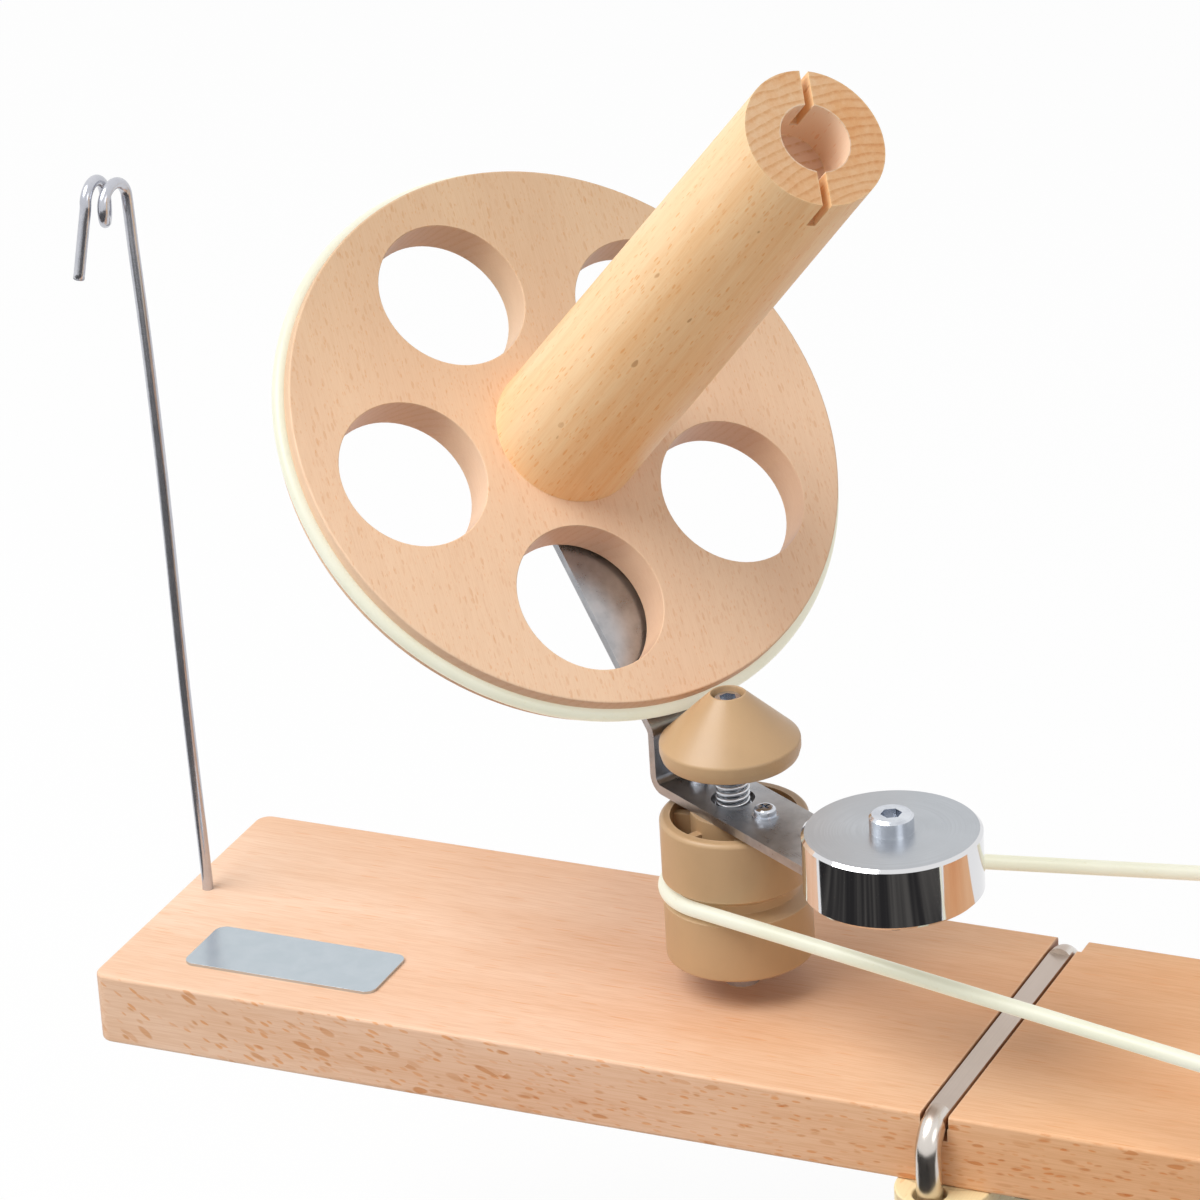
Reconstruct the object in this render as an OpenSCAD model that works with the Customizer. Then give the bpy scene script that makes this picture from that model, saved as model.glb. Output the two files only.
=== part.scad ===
// Hand-cranked yarn ball winder. A wheel with a handle drives, by a belt, a rotor that
// swings a tilted winding mandrel. The mandrel's disc rolls on a fixed friction cone.
// The origin is the middle of the face that rests on the table, +X towards the drive
// wheel, +Z up.

/* [Board] */
// Length of the beech board
board_l = 500; // [470:1:540]
// Width of the board
board_w = 99; // [92:0.5:110]
// Thickness of the board
board_t = 20; // [18:0.5:26]
// Rounding of the board's long edges
board_edge = 1; // [0.5:0.1:3]
// Rounding of the board's upright corners
board_corner = 4; // [4:0.5:10]
// Distance from the board's left end to the rotor's axis
rotor_from_end = 165; // [150:1:180]
// How far the rotor's axis lies behind the middle of the board
axes_back = 1.9; // [-3:0.1:4]
// How far the drive wheel's axis stands in front of the rotor's
wheel_forward = 6.5; // [0:0.1:10]
// Distance from the board's right end to the drive wheel's axis
wheel_from_end = 49; // [45:1:60]

/* [Rotor pulley] */
// Outer radius of the pulley
pulley_r = 19.3; // [19:0.1:21]
// Height of the pulley's drum
pulley_h = 39.4; // [38:0.1:44]
// Height of the steel foot that lifts the pulley off the board
pulley_lift = 9; // [7:0.5:12]
// Radius of the steel foot
foot_r = 4.6; // [4:0.1:6]
// Height of the belt groove above the pulley's lower edge
groove_up = 19.4; // [18:0.1:21]
// Depth of the belt groove in the pulley
groove_depth = 3; // [2.5:0.1:3.2]
// Thickness of the pulley's cup wall
cup_wall = 2.8; // [2:0.1:3.2]
// Depth of the pulley's upper cup
cup_depth = 14; // [8:0.5:15]
// Depth of the hollow under the pulley
skirt_depth = 12; // [6:0.5:13]
// Number of ribs in the cup
rib_count = 6; // [4:1:8]
// Thickness of a rib
rib_t = 2.4; // [1.5:0.1:3]
// How far the ribs stay below the rim
rib_drop = 2.2; // [1:0.1:4]
// Radius of the pulley's hub
hub_r = 11.2; // [10.5:0.1:12]
// Gap from the pulley's rim up to the bracket
rim_gap = 1.6; // [0.8:0.1:3]

/* [Rotor axle] */
// Diameter of the rotor's axle bolt
axle_d = 5; // [4:0.1:6]
// Diameter of the axle bolt's head
axle_head_d = 7.6; // [7.4:0.1:8]
// Height of the axle bolt's head
axle_head_h = 5; // [3:0.5:6]
// Outer diameter of a rotor bearing
rotor_bearing_d = 16; // [14:0.5:16.5]
// Width of a rotor bearing
rotor_bearing_w = 5; // [4:0.5:6]

/* [Friction cone] */
// Largest radius of the friction cone
cone_r = 18.2; // [17:0.1:19]
// Radius of the cone's flat top
cone_top_r = 5.2; // [5:0.1:6.5]
// Height of the band under the cone's slope
cone_band = 5.1; // [4:0.1:7]
// Diameter of the hole in the cone's top
cone_hole_d = 8.4; // [8.2:0.1:9]
// Gap between the bracket's arm and the underside of the cone
cone_up = 11.8; // [10:0.1:14]
// Clearance between the cone and the bracket's upright
cone_gap = 1.7; // [1:0.1:4]

/* [Cone spring] */
// Diameter of the spring's wire
spring_wire = 1.2; // [0.8:0.1:1.2]
// Outer diameter of the spring
spring_d = 9; // [8.4:0.1:9.2]
// Number of curls
spring_curls = 6; // [4:1:6]

/* [Swing bracket] */
// Width of the steel strip
bracket_w = 20; // [16:0.5:22]
// Thickness of the steel strip
bracket_t = 2.5; // [2:0.1:3.5]
// Bend radius inside each fold
bend_r = 2; // [1:0.5:3]
// Angle that the arm makes with the board's length
arm_angle = -30.7; // [-180:0.1:180]
// Distance of the two fixing screws from the rotor's axis
screw_at = 13.9; // [13:0.1:14.5]
// Diameter of the hole that clears the spring
spring_hole_d = 11.4; // [10.5:0.1:13]

/* [Counterweight] */
// Radius of the counterweight
weight_r = 22.6; // [18:0.1:24]
// Thickness of the counterweight
weight_t = 16.5; // [12:0.5:20]
// Distance of the counterweight from the rotor's axis
weight_at = 67.8; // [55:0.1:75]
// Bevel on the counterweight's edges
weight_bevel = 0.8; // [0.3:0.1:1.5]
// Diameter of the counterweight's bolt
weight_bolt_d = 6; // [5:0.5:8]

/* [Winding disc] */
// Radius of the winding disc
disc_r = 76.6; // [70:0.1:80]
// Thickness of the winding disc
disc_t = 12; // [10:0.5:16]
// Tilt of the disc from level
tilt = 45.7; // [42:0.1:48]
// Radius at which the tyre runs on the cone
contact_r = 14.7; // [12:0.1:16]
// Number of holes in the disc
hole_count = 5; // [3:1:6]
// Diameter of each hole
hole_d = 40.5; // [30:0.5:42]
// Distance of the holes from the disc's middle
hole_at = 47; // [44:0.5:49]
// Turn of the hole pattern
hole_turn = 195.4; // [0:0.1:360]
// Rounding of the wooden discs' edges
disc_edge = 0.6; // [0.4:0.1:1.5]
// Diameter of the elastic cord of the tyre and the belt
cord_d = 4; // [3.5:0.1:4.2]
// How far the cord's middle lies outside a wooden disc's rim
cord_out = 0.4; // [0.2:0.1:1.4]
// Gap between the tyre and the cone
tyre_gap = 0.3; // [0.2:0.05:0.5]
// Gap between the disc's back and the bracket
leg_gap = 1.6; // [1.2:0.1:3]

/* [Mandrel] */
// Length of the mandrel
mandrel_l = 160; // [120:1:180]
// Radius of the mandrel at the disc
mandrel_base_r = 20; // [18:0.1:22]
// Radius of the mandrel at its tip
mandrel_tip_r = 18.2; // [15:0.1:18.2]
// Diameter of the bore in the tip
tip_bore_d = 18; // [12:0.5:22]
// Depth of the bore in the tip
tip_bore_depth = 15; // [8:0.5:25]
// Width of the slot that grips the yarn's end
yarn_slot_w = 2.3; // [1.5:0.1:3.5]
// Depth of the slot
yarn_slot_depth = 10; // [6:0.5:14]
// Turn of the slot
yarn_slot_turn = -19.6; // [-90:0.1:90]
// Diameter of the spindle bolt
spindle_d = 6; // [5:0.5:7]
// Outer diameter of a disc bearing
disc_bearing_d = 19; // [17:0.5:20]
// Width of a disc bearing
disc_bearing_w = 6; // [5:0.5:7]
// Number of screws that hold the mandrel to the disc
mandrel_screw_count = 3; // [2:1:5]

/* [Drive wheel] */
// Radius of the drive wheel
wheel_r = 79.6; // [70:0.1:85]
// Thickness of the drive wheel
wheel_t = 12; // [10:0.5:14]
// Radius of the hub under the wheel
wheel_hub_r = 20; // [16:0.5:25]
// Height of the hub under the wheel
wheel_hub_h = 8; // [5:0.5:9]
// Diameter of the wheel's axle bolt
wheel_axle_d = 8; // [6:0.5:10]
// Outer diameter of a wheel bearing
wheel_bearing_d = 22; // [20:0.5:24]
// Width of a wheel bearing
wheel_bearing_w = 7; // [5:0.5:7]

/* [Crank handle] */
// Distance of the handle from the wheel's axis
handle_at = 60; // [45:1:62]
// Height of the handle's wooden grip
grip_h = 62; // [45:1:80]
// Largest radius of the grip
grip_r = 13; // [11:0.5:15]
// Diameter of the handle's bolt
handle_bolt_d = 6; // [5:0.5:8]

/* [Yarn guide] */
// Diameter of the guide's wire
guide_wire = 3; // [2.5:0.1:3.2]
// Distance from the board's left end to the guide
guide_from_end = 6.7; // [6:0.1:15]
// How far the guide stands behind the middle of the board
guide_back = 4.4; // [-20:0.1:20]
// Height of the eye's middle above the board
guide_eye_up = 199.4; // [150:0.1:215]
// Radius of the eye, to the middle of the wire
guide_eye_r = 5.2; // [5:0.1:8]
// How far the eye's first half turn moves the wire sideways
guide_step = 5.3; // [4.6:0.1:7]
// How far the eye's last half turn moves the wire sideways
guide_last_step = 4.2; // [3.8:0.1:6]
// Direction that the eye faces
guide_turn = 204.2; // [0:0.1:360]
// Length of the guide's free end
guide_tail = 19.5; // [10:0.1:40]
// Depth of the guide's foot in the board
guide_foot = 15; // [10:0.5:16]

/* [Clamp] */
// Diameter of the clamp rod
rod_d = 6.7; // [5.5:0.1:7]
// Distance from the rotor's axis to the clamp rod
rod_from_rotor = 73.3; // [70:0.1:90]
// How far half the span of the rod's legs exceeds half the board's width
rod_off = 1.6; // [1.2:0.1:3]
// How far the rod is pushed towards the front
rod_shift = 2.7; // [2:0.1:4]
// Radius of the rod's bends, to the middle of the rod
rod_bend = 8; // [7.5:0.1:9]
// Height of the ground flat above the rod's middle
rod_flat = 1.7; // [0.8:0.1:1.8]
// How far the flat lies below the board's top
rod_sunk = 0.2; // [0.1:0.1:1]
// Gap on the wide side of the rod in its groove
groove_gap = 0.6; // [0.3:0.1:2]
// How far the rod's legs reach below the nuts of the beam
rod_end = 10.9; // [6:0.1:20]
// Width of the block that guides the legs
block_w = 25; // [22:0.5:32]
// Height of the block
block_h = 22; // [16:0.5:30]
// How far the block stands out beyond the board's sides
block_out = 11; // [10:0.5:16]
// Thickness of the clamp beam
beam_t = 18; // [16:0.5:22]
// Reach of the clamp beam under the table
beam_reach = 52; // [45:1:60]
// Width of the beam's tongue
tongue_w = 34; // [30:1:45]
// Largest table thickness that the open clamp takes
table_max = 42; // [38:0.5:44]
// Travel of the clamp screw
screw_travel = 24; // [15:0.5:30]
// Diameter of the clamp screw
screw_d = 8; // [6:0.5:10]
// Radius of the clamp screw's foot
pad_r = 14; // [12:0.5:16]
// Thickness of the clamp screw's foot
pad_t = 8; // [7:0.5:10]
// Radius of the clamp knob
knob_r = 19; // [15:0.5:22]
// Height of the clamp knob
knob_h = 18; // [14:0.5:24]

/* [Table pad] */
// Thickness of the rubber table pad
seat_t = 2.5; // [1.5:0.1:5]
// How far the pad stays inside the board's sides
seat_inset = 4.5; // [2:0.5:10]
// Gap from the block to the pad
seat_gap = 1; // [0.5:0.5:5]

/* [Name plate] */
// Length of the bare name plate
plate_l = 55.8; // [40:0.1:60]
// Width of the name plate
plate_w = 21.8; // [15:0.1:25]
// Thickness of the name plate
plate_t = 0.8; // [0.5:0.1:1.5]
// Distance from the board's left end to the plate's middle
plate_from_end = 48.6; // [40:0.1:60]
// Distance from the board's front side to the plate's middle
plate_from_front = 23.3; // [18:0.1:30]

/* [Clearances] */
// Radial running clearance of a shaft in its bearing
run_clear = 0.05; // [0.02:0.01:0.09]
// Radial clearance of a fixed bolt in its hole
bolt_clear = 0.2; // [0.1:0.05:0.4]
// Gap between faces that turn past each other
face_gap = 0.3; // [0.25:0.05:0.5]
// Gap between the belt and the bottom of the pulley's groove
belt_gap = 0.2; // [0.15:0.05:0.3]

/* [Hidden] */
$fn = 96;

beech = "#f0c79a";
beech_dark = "#e5b583";
tan_plastic = "#c79f74";
cream = "#ece8c6";
steel = "#b9bcc0";
chrome = "#d9dce0";
rubber = "#2b2b2d";
yellow_wood = "#ecd59a";

// Heights and places, from the table up
board_top = seat_t + board_t;
block_shift = 1.7;
block_right = rod_from_rotor + block_shift + block_w / 2;
seat_end = 13;
seat_l = board_l - rotor_from_end - block_right - seat_gap - seat_end;
rotor_x = -(block_right + seat_gap + seat_l / 2);
axle_gap = board_l - rotor_from_end - wheel_from_end;
wheel_x = rotor_x + axle_gap;
board_left = rotor_x - rotor_from_end;
rod_x = rotor_x + rod_from_rotor;
belt_up = pulley_lift + groove_up;
cord_r = cord_d / 2;

// Rotor heights above the board's top
pulley_top = pulley_lift + pulley_h;
arm_z = pulley_top + rim_gap;
arm_top = arm_z + bracket_t;
seat_ring_t = 1;
cone_z = arm_top + cone_up;
cone_edge = 1.2;
cone_shoulder_z = cone_z + cone_band;
cone_top_z = cone_shoulder_z + (cone_r - cone_top_r) / tan(tilt);

// The disc rolls on the cone where the cone's radius is contact_r, square to its slope
contact_z = cone_shoulder_z + (cone_r - contact_r) / tan(tilt);
tyre_ring_r = disc_r + cord_out;
rim_to_contact = tyre_ring_r + cord_r + tyre_gap;
disc_x = -contact_r - rim_to_contact * cos(tilt) + disc_t / 2 * sin(tilt);
disc_z = contact_z + rim_to_contact * sin(tilt) + disc_t / 2 * cos(tilt);
heel_r = cone_r + cone_gap + bracket_t;
weight_z = arm_top;
weight_head_h = 4.5;
weight_nut_h = 5;
leg_front = -disc_t - leg_gap;
leg_back = leg_front - bracket_t;

// Table clamp heights, measured from the table's top face
leg_y = board_w / 2 + rod_off;
rod_z = board_top - rod_sunk - rod_flat;
pad_top = -table_max;
pad_socket = 4;
beam_top = pad_top - pad_t - 5;
beam_bottom = beam_top - beam_t;
clamp_screw_x = rotor_x + block_right + beam_reach - tongue_w / 2;
nut_h = 5;
nut_flats = rod_d * 1.65;
washer_t = 1.6;
leg_bottom = beam_bottom - washer_t - nut_h - rod_end;

// Hexagon of a given width across its flats
module hexagon(flats, h) {
    cylinder(d = flats / cos(30), h = h, $fn = 6);
}

// Places children at the rotor's axis on the board's top
module at_rotor() {
    translate([rotor_x, axes_back, board_top]) children();
}

// Places children at the rotor's axis with +X along the counterweight's arm
module along_arm() {
    at_rotor() rotate([0, 0, arm_angle]) children();
}

// Places children at the middle of the disc's front face, +Z out along the mandrel
module on_disc() {
    along_arm() translate([disc_x, 0, disc_z]) rotate([0, tilt, 0]) children();
}

// Places children at the drive wheel's axis on the board's top
module at_wheel() {
    translate([wheel_x, axes_back - wheel_forward, board_top]) children();
}

// A vector's direction
function unit(v) = v / norm(v);

// Points of an arc from one angle to another
function arc(cx, cy, r, from, to, steps) =
    [for (i = [0 : steps]) let (a = from + (to - from) * i / steps) [cx + r * cos(a), cy + r * sin(a)]];

// Slab with rounded upright corners and rounded long edges, from z = 0 up
module rounded_slab(l, w, t, corner, edge) {
    inner = corner - edge;
    hull() for (x = [-1, 1], y = [-1, 1])
        translate([x * (l / 2 - corner), y * (w / 2 - corner), 0])
            rotate_extrude($fn = 32)
                polygon(concat(
                    [[0, 0]], arc(inner, edge, edge, -90, 0, 4),
                    arc(inner, t - edge, edge, 0, 90, 4), [[0, t]]
                ));
}

// Disc turned with rounded edges and a round groove for the cord in its rim
module grooved_disc(r, t, edge, cut) {
    rotate_extrude() difference() {
        polygon(concat(
            [[0, 0]], arc(r - edge, edge, edge, -90, 0, 6),
            arc(r - edge, t - edge, edge, 0, 90, 6), [[0, t]]
        ));
        translate([r + cord_out, t / 2]) circle(r = cord_r + cut, $fn = 48);
    }
}

// Ring seen as a shielded ball bearing, from z = 0 up
module ball_bearing(outer_d, inner_r, w) {
    race = 0.22 * (outer_d / 2 - inner_r);
    shield = 0.3;
    difference() {
        cylinder(d = outer_d, h = w);
        translate([0, 0, -1]) cylinder(r = inner_r, h = w + 2);
        for (z = [-1, w - shield])
            translate([0, 0, z]) difference() {
                cylinder(r = outer_d / 2 - race, h = 1 + shield);
                translate([0, 0, -1]) cylinder(r = inner_r + race, h = 3 + shield);
            }
    }
}

// Flat washer from z = 0 up
module washer(outer_r, inner_r, t) {
    difference() {
        cylinder(r = outer_r, h = t);
        translate([0, 0, -1]) cylinder(r = inner_r, h = t + 2);
    }
}

// Bolt head with a hexagon socket, from z = 0 up
module socket_head(r, h, flats, bevel) {
    difference() {
        rotate_extrude() polygon([[0, 0], [r, 0], [r, h - bevel], [r - bevel, h], [0, h]]);
        translate([0, 0, h * 0.4]) hexagon(flats, h);
    }
}

// Round tube swept along points, each ring mitred between its two stretches
module tube(points, r, sides) {
    n = len(points);
    function ahead(i) = unit(points[min(i + 1, n - 1)] - points[max(i - 1, 0)]);
    function square_to(u, d) = unit(u - (u * d) * d);
    ups = [for (i = 0, u = square_to([0.3, 1, 0.1], ahead(0)); i < n;
        i = i + 1, u = i < n ? square_to(u, ahead(i)) : u) u];
    // Stretch of the ring in the bend's plane, so that the tube keeps its radius round a corner
    function mitre(i) = i == 0 || i == n - 1 ? 1
        : 1 / sqrt((1 + unit(points[i] - points[i - 1]) * unit(points[i + 1] - points[i])) / 2);
    function bend(i) = i == 0 || i == n - 1 ? [0, 0, 0]
        : let (c = unit(points[i + 1] - points[i]) - unit(points[i] - points[i - 1]))
            norm(c) < 0.001 ? [0, 0, 0] : unit(c);
    rings = [for (i = [0 : n - 1], k = [0 : sides - 1])
        let (
            v = cross(ahead(i), ups[i]), a = 360 * k / sides,
            p = r * (cos(a) * ups[i] + sin(a) * v), c = bend(i)
        )
        points[i] + p + (p * c) * (mitre(i) - 1) * c];
    walls = [for (i = [0 : n - 2], k = [0 : sides - 1], h = [0, 1])
        let (a = i * sides + k, b = i * sides + (k + 1) % sides)
        h == 0 ? [a, a + sides, b] : [b, a + sides, b + sides]];
    ends = [for (k = [1 : sides - 2], h = [0, 1])
        h == 0 ? [0, k, k + 1] : [(n - 1) * sides, (n - 1) * sides + k + 1, (n - 1) * sides + k]];
    polyhedron(rings, concat(walls, ends), convexity = 10);
}

// Wooden board with its holes, sockets and the groove of the clamp rod
module base_board() {
    groove_x = rod_x - rod_d / 2 - rod_left_gap;
    groove_z = rod_z - rod_d / 2 - rod_under;
    groove_w = rod_d + rod_left_gap + rod_right_gap;
    shoulder_w = rod_d + rod_left_gap + groove_gap;
    color(beech) difference() {
        translate([board_left + board_l / 2, 0, seat_t])
            rounded_slab(board_l, board_w, board_t, board_corner, board_edge);
        translate([board_left + guide_from_end, guide_back, board_top - guide_foot - face_gap])
            cylinder(r = guide_wire / 2 + run_clear, h = guide_foot + 5);
        at_rotor() {
            translate([0, 0, -board_t - 1]) cylinder(r = axle_d / 2 + bolt_clear, h = board_t + 2);
            translate([0, 0, -board_t - 1]) cylinder(r = axle_nut_flats / 2 + 3, h = nut_recess + 1);
        }
        at_wheel() {
            translate([0, 0, -board_t - 1]) cylinder(r = wheel_axle_d / 2 + bolt_clear, h = board_t + 2);
            translate([0, 0, -board_t - 1]) cylinder(r = wheel_bolt_head_r + 1, h = wheel_bolt_head_h + 2);
        }
        // Groove across the board, with a wider shoulder that opens towards the back side
        translate([groove_x, -board_w, groove_z]) cube([groove_w, 2 * board_w, rod_d * 2]);
        translate([groove_x, -board_w, board_top - groove_shoulder])
            cube([shoulder_w, 2 * board_w, rod_d]);
        translate([groove_x, board_w / 2 - groove_mouth, board_top - groove_shoulder])
            cube([shoulder_w + groove_flare, board_w, rod_d]);
        // Deeper at the sides where the rod turns down, and a notch for its back leg
        for (s = [-1, 1])
            translate([groove_x, s * (leg_y - rod_bend) - rod_shift, rod_z - rod_bend])
                difference() {
                    translate([0, s > 0 ? 0 : -rod_bend * 2, 0]) cube([groove_w, rod_bend * 2, rod_bend]);
                    translate([-1, 0, 0]) rotate([0, 90, 0])
                        cylinder(r = rod_bend - rod_d / 2 - rod_under, h = groove_w + 2);
                }
        translate([groove_x, leg_y - rod_shift - rod_d / 2 - rod_under, 0])
            cube([groove_w, board_w, rod_z - rod_bend + 1]);
    }
}
rod_left_gap = 0.3;
rod_right_gap = 0.2;
rod_under = 0.1;
groove_shoulder = 3.5;
groove_mouth = 6.5;
groove_flare = 1.2;
axle_nut_flats = 8;
axle_nut_h = 4;
nut_recess = 6;
wheel_bolt_head_r = 10;
wheel_bolt_head_h = 4.5;

// Rubber pad between the board and the table
module table_pad() {
    color(rubber) difference() {
        rounded_plate(seat_l, board_w - 2 * seat_inset, seat_t, board_corner + 1);
        translate([wheel_x, axes_back - wheel_forward, -1]) cylinder(r = wheel_bolt_head_r + 1, h = seat_t + 2);
    }
}

// Plate with rounded upright corners, centred, from z = 0 up
module rounded_plate(l, w, t, corner) {
    union() {
        translate([-l / 2 + corner, -w / 2, 0]) cube([l - 2 * corner, w, t]);
        translate([-l / 2, -w / 2 + corner, 0]) cube([l, w - 2 * corner, t]);
        for (x = [-1, 1], y = [-1, 1])
            translate([x * (l / 2 - corner), y * (w / 2 - corner), 0]) cylinder(r = corner, h = t, $fn = 48);
    }
}

// Bare steel plate near the board's front left corner
module name_plate() {
    color(steel)
        translate([board_left + plate_from_end, -board_w / 2 + plate_from_front, board_top])
            rounded_plate(plate_l, plate_w, plate_t, 3);
}

// Route of the guide's wire: a slightly bowed shaft, an open curl and a free end.
// The bow's points are shares of the eye's height: sideways and up.
guide_bow = [[0, 0.003], [0, 0.015], [-0.007, 0.3], [-0.0105, 0.6], [-0.016, 0.8], [-0.022, 0.93]];
guide_skin = 0.02;
guide_shaft_x = -4.9;
guide_rise = 1;
guide_pinch = 0.2;
guide_tail_lean = 3.5;
eye_steps = 36;
eye_turn = 540;
eye_along = [cos(guide_turn), sin(guide_turn), 0];
eye_across = [sin(guide_turn), -cos(guide_turn), 0];
function ease(t) = t * t * (3 - 2 * t);
function eye_shift(a) =
    a < 180 ? guide_step * ease(a / 180)
    : a < 360 ? guide_step + guide_pinch * (a - 180) / 180
    : guide_step + guide_pinch + guide_last_step * ease((a - 360) / 180);
function eye_point(a) =
    [guide_shaft_x, 0, guide_eye_up]
    + eye_across * guide_eye_r * (cos(a) - 1)
    + eye_along * eye_shift(a)
    + [0, 0, guide_eye_r * sin(a) + guide_rise * a / 360];
guide_route = concat(
    [for (p = guide_bow) guide_eye_up * [p[0], 0, p[1]]],
    [for (i = [0 : eye_steps]) eye_point(i * eye_turn / eye_steps)],
    [for (k = [1 : 3]) eye_point(eye_turn) + (eye_along * guide_tail_lean - [0, 0, guide_tail]) * k / 3]
);

// Bent steel wire that leads the yarn to the mandrel
module yarn_guide() {
    color(chrome) translate([board_left + guide_from_end, guide_back, board_top]) union() {
        translate([0, 0, -guide_foot]) cylinder(r = guide_wire / 2, h = guide_foot + 1);
        tube(guide_route, guide_wire / 2 - guide_skin, 12);
    }
}

// Steel rod laid over the board, its two legs bent down at the board's sides
module clamp_rod() {
    run = 2 * (leg_y - rod_bend);
    leg_z = rod_z - rod_bend;
    color(chrome) translate([rod_x, -rod_shift, 0]) difference() {
        union() {
            translate([0, run / 2, rod_z]) rotate([90, 0, 0]) cylinder(d = rod_d, h = run);
            for (s = [0, 180]) rotate([0, 0, s]) {
                translate([0, run / 2, leg_z]) rotate([90, 0, 90])
                    rotate_extrude(angle = 90) translate([rod_bend, 0]) circle(d = rod_d, $fn = 48);
                translate([0, leg_y, leg_bottom]) cylinder(d = rod_d, h = leg_z - leg_bottom);
            }
        }
        translate([-rod_d, -run / 2, rod_z + rod_flat]) cube([2 * rod_d, run, rod_d]);
    }
}

// Block under the board that guides the legs and stops against the table's edge
module clamp_block() {
    color(yellow_wood) difference() {
        translate([rod_x + block_shift, 0, seat_t - block_h])
            rounded_plate(block_w, board_w + 2 * block_out, block_h, block_w / 2 - 0.5);
        for (s = [-1, 1])
            translate([rod_x, s * leg_y - rod_shift, seat_t - block_h - 1])
                cylinder(r = rod_d / 2 + leg_clear, h = block_h + 2);
        block_screw_places(block_h + 2, block_screw_r + 0.1, seat_t - block_h - 1);
        block_screw_places(block_screw_sunk + 1, block_screw_head_r + 0.5, seat_t - block_h - 1);
    }
}
leg_clear = 1;
block_screw_r = 2;
block_screw_head_r = 4;
block_screw_head_h = 2.5;
block_screw_sunk = 5;

// Upright cylinders at the block's two screws
module block_screw_places(h, r, z) {
    for (y = [-1, 1]) translate([rod_x + block_shift, y * board_w / 4, z]) cylinder(r = r, h = h, $fn = 48);
}

// Two wood screws that hold the block to the board; their tips stop at the board's face
module block_screws() {
    color(steel) union() {
        block_screw_places(block_h - block_screw_sunk, block_screw_r, seat_t - block_h + block_screw_sunk);
        block_screw_places(block_screw_head_h, block_screw_head_r,
            seat_t - block_h + block_screw_sunk - block_screw_head_h);
    }
}

// Beam under the table: a cross bar on the two legs and a tongue for the clamp screw
module clamp_beam() {
    color(beech_dark) difference() {
        union() {
            translate([rod_x + block_shift, 0, beam_bottom])
                rounded_plate(block_w, board_w + 2 * block_out, beam_t, 5);
            translate([rod_x + block_shift, -tongue_w / 2, beam_bottom])
                cube([block_w / 2 + beam_reach - tongue_w / 2, tongue_w, beam_t]);
            translate([clamp_screw_x, 0, beam_bottom]) cylinder(d = tongue_w, h = beam_t);
        }
        for (s = [-1, 1])
            translate([rod_x, s * leg_y - rod_shift, beam_bottom - 1])
                cylinder(r = rod_d / 2 + bolt_clear, h = beam_t + 2);
        translate([clamp_screw_x, 0, beam_bottom - 1]) cylinder(r = insert_r, h = beam_t + 2);
    }
}
insert_wall = 2.5;
insert_r = screw_d / 2 + insert_wall;

// Four nuts with washers that lock the beam on the legs
module clamp_nuts() {
    color(steel) for (s = [-1, 1]) translate([rod_x, s * leg_y - rod_shift, 0]) {
        for (up = [0, 1]) {
            translate([0, 0, up == 1 ? beam_top : beam_bottom - washer_t]) washer(rod_d, rod_d / 2 + 0.1, washer_t);
            translate([0, 0, up == 1 ? beam_top + washer_t : beam_bottom - washer_t - nut_h]) difference() {
                hexagon(nut_flats, nut_h);
                translate([0, 0, -1]) cylinder(r = rod_d / 2 + 0.1, h = nut_h + 2);
            }
        }
    }
}

// Threaded brass insert of the clamp screw in the beam
module beam_insert() {
    color("#c9a44c") translate([clamp_screw_x, 0, beam_bottom])
        washer(insert_r, screw_d / 2 + run_clear, beam_t);
}

// Swivel foot that presses on the table's underside
module clamp_foot() {
    color(rubber) translate([clamp_screw_x, 0, pad_top - pad_t]) difference() {
        rotate_extrude() polygon([[0, 0], [pad_r - 3, 0], [pad_r, 3], [pad_r, pad_t - 0.8], [pad_r - 0.8, pad_t], [0, pad_t]]);
        translate([0, 0, -1]) cylinder(r = screw_d / 2 + run_clear, h = pad_socket + face_gap + 1);
    }
}

// Threaded clamp screw, from the foot's socket down into the knob
module clamp_screw() {
    screw_top = pad_top - pad_t + pad_socket;
    color(chrome) translate([clamp_screw_x, 0, knob_top - knob_bite])
        cylinder(d = screw_d, h = screw_top - knob_top + knob_bite);
}
knob_top = beam_bottom - screw_travel - 1;
knob_bite = 12;

// Fluted knob on the clamp screw
module clamp_knob() {
    flutes = 6;
    color(rubber) translate([clamp_screw_x, 0, knob_top - knob_h]) difference() {
        rotate_extrude() polygon(concat(
            [[0, 0]], arc(knob_r - 3, 3, 3, -90, 0, 6), arc(knob_r - 3, knob_h - 6, 3, 0, 90, 6),
            [[screw_d / 2 + 4, knob_h - 3], [screw_d / 2 + 4, knob_h], [0, knob_h]]
        ));
        for (i = [0 : flutes - 1]) rotate([0, 0, 360 / flutes * i])
            translate([knob_r + 4, 0, -1]) cylinder(r = 7.5, h = knob_h + 2, $fn = 48);
        translate([0, 0, knob_h - knob_bite]) cylinder(d = screw_d, h = knob_bite + 1);
    }
}

// Long bolt that holds the cone, the spring and the pulley's bearings on the board
module axle_bolt() {
    head_z = cone_top_z - axle_head_sunk - axle_head_h;
    bottom = -board_t + 0.5;
    color(chrome) at_rotor() union() {
        translate([0, 0, bottom]) cylinder(d = axle_d, h = head_z - bottom);
        translate([0, 0, head_z]) socket_head(axle_head_d / 2, axle_head_h, 4, 0.5);
    }
}
axle_head_sunk = 0.9;

// Nut and washer of the axle bolt, in a recess under the board
module axle_nut() {
    color(steel) at_rotor() difference() {
        union() {
            translate([0, 0, -board_t + nut_recess - 1]) cylinder(r = axle_nut_flats / 2 + 1.5, h = 1);
            translate([0, 0, -board_t + nut_recess - 1 - axle_nut_h]) hexagon(axle_nut_flats, axle_nut_h);
        }
        translate([0, 0, -board_t - 1]) cylinder(r = axle_d / 2 + 0.05, h = nut_recess + 2);
    }
}

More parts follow.
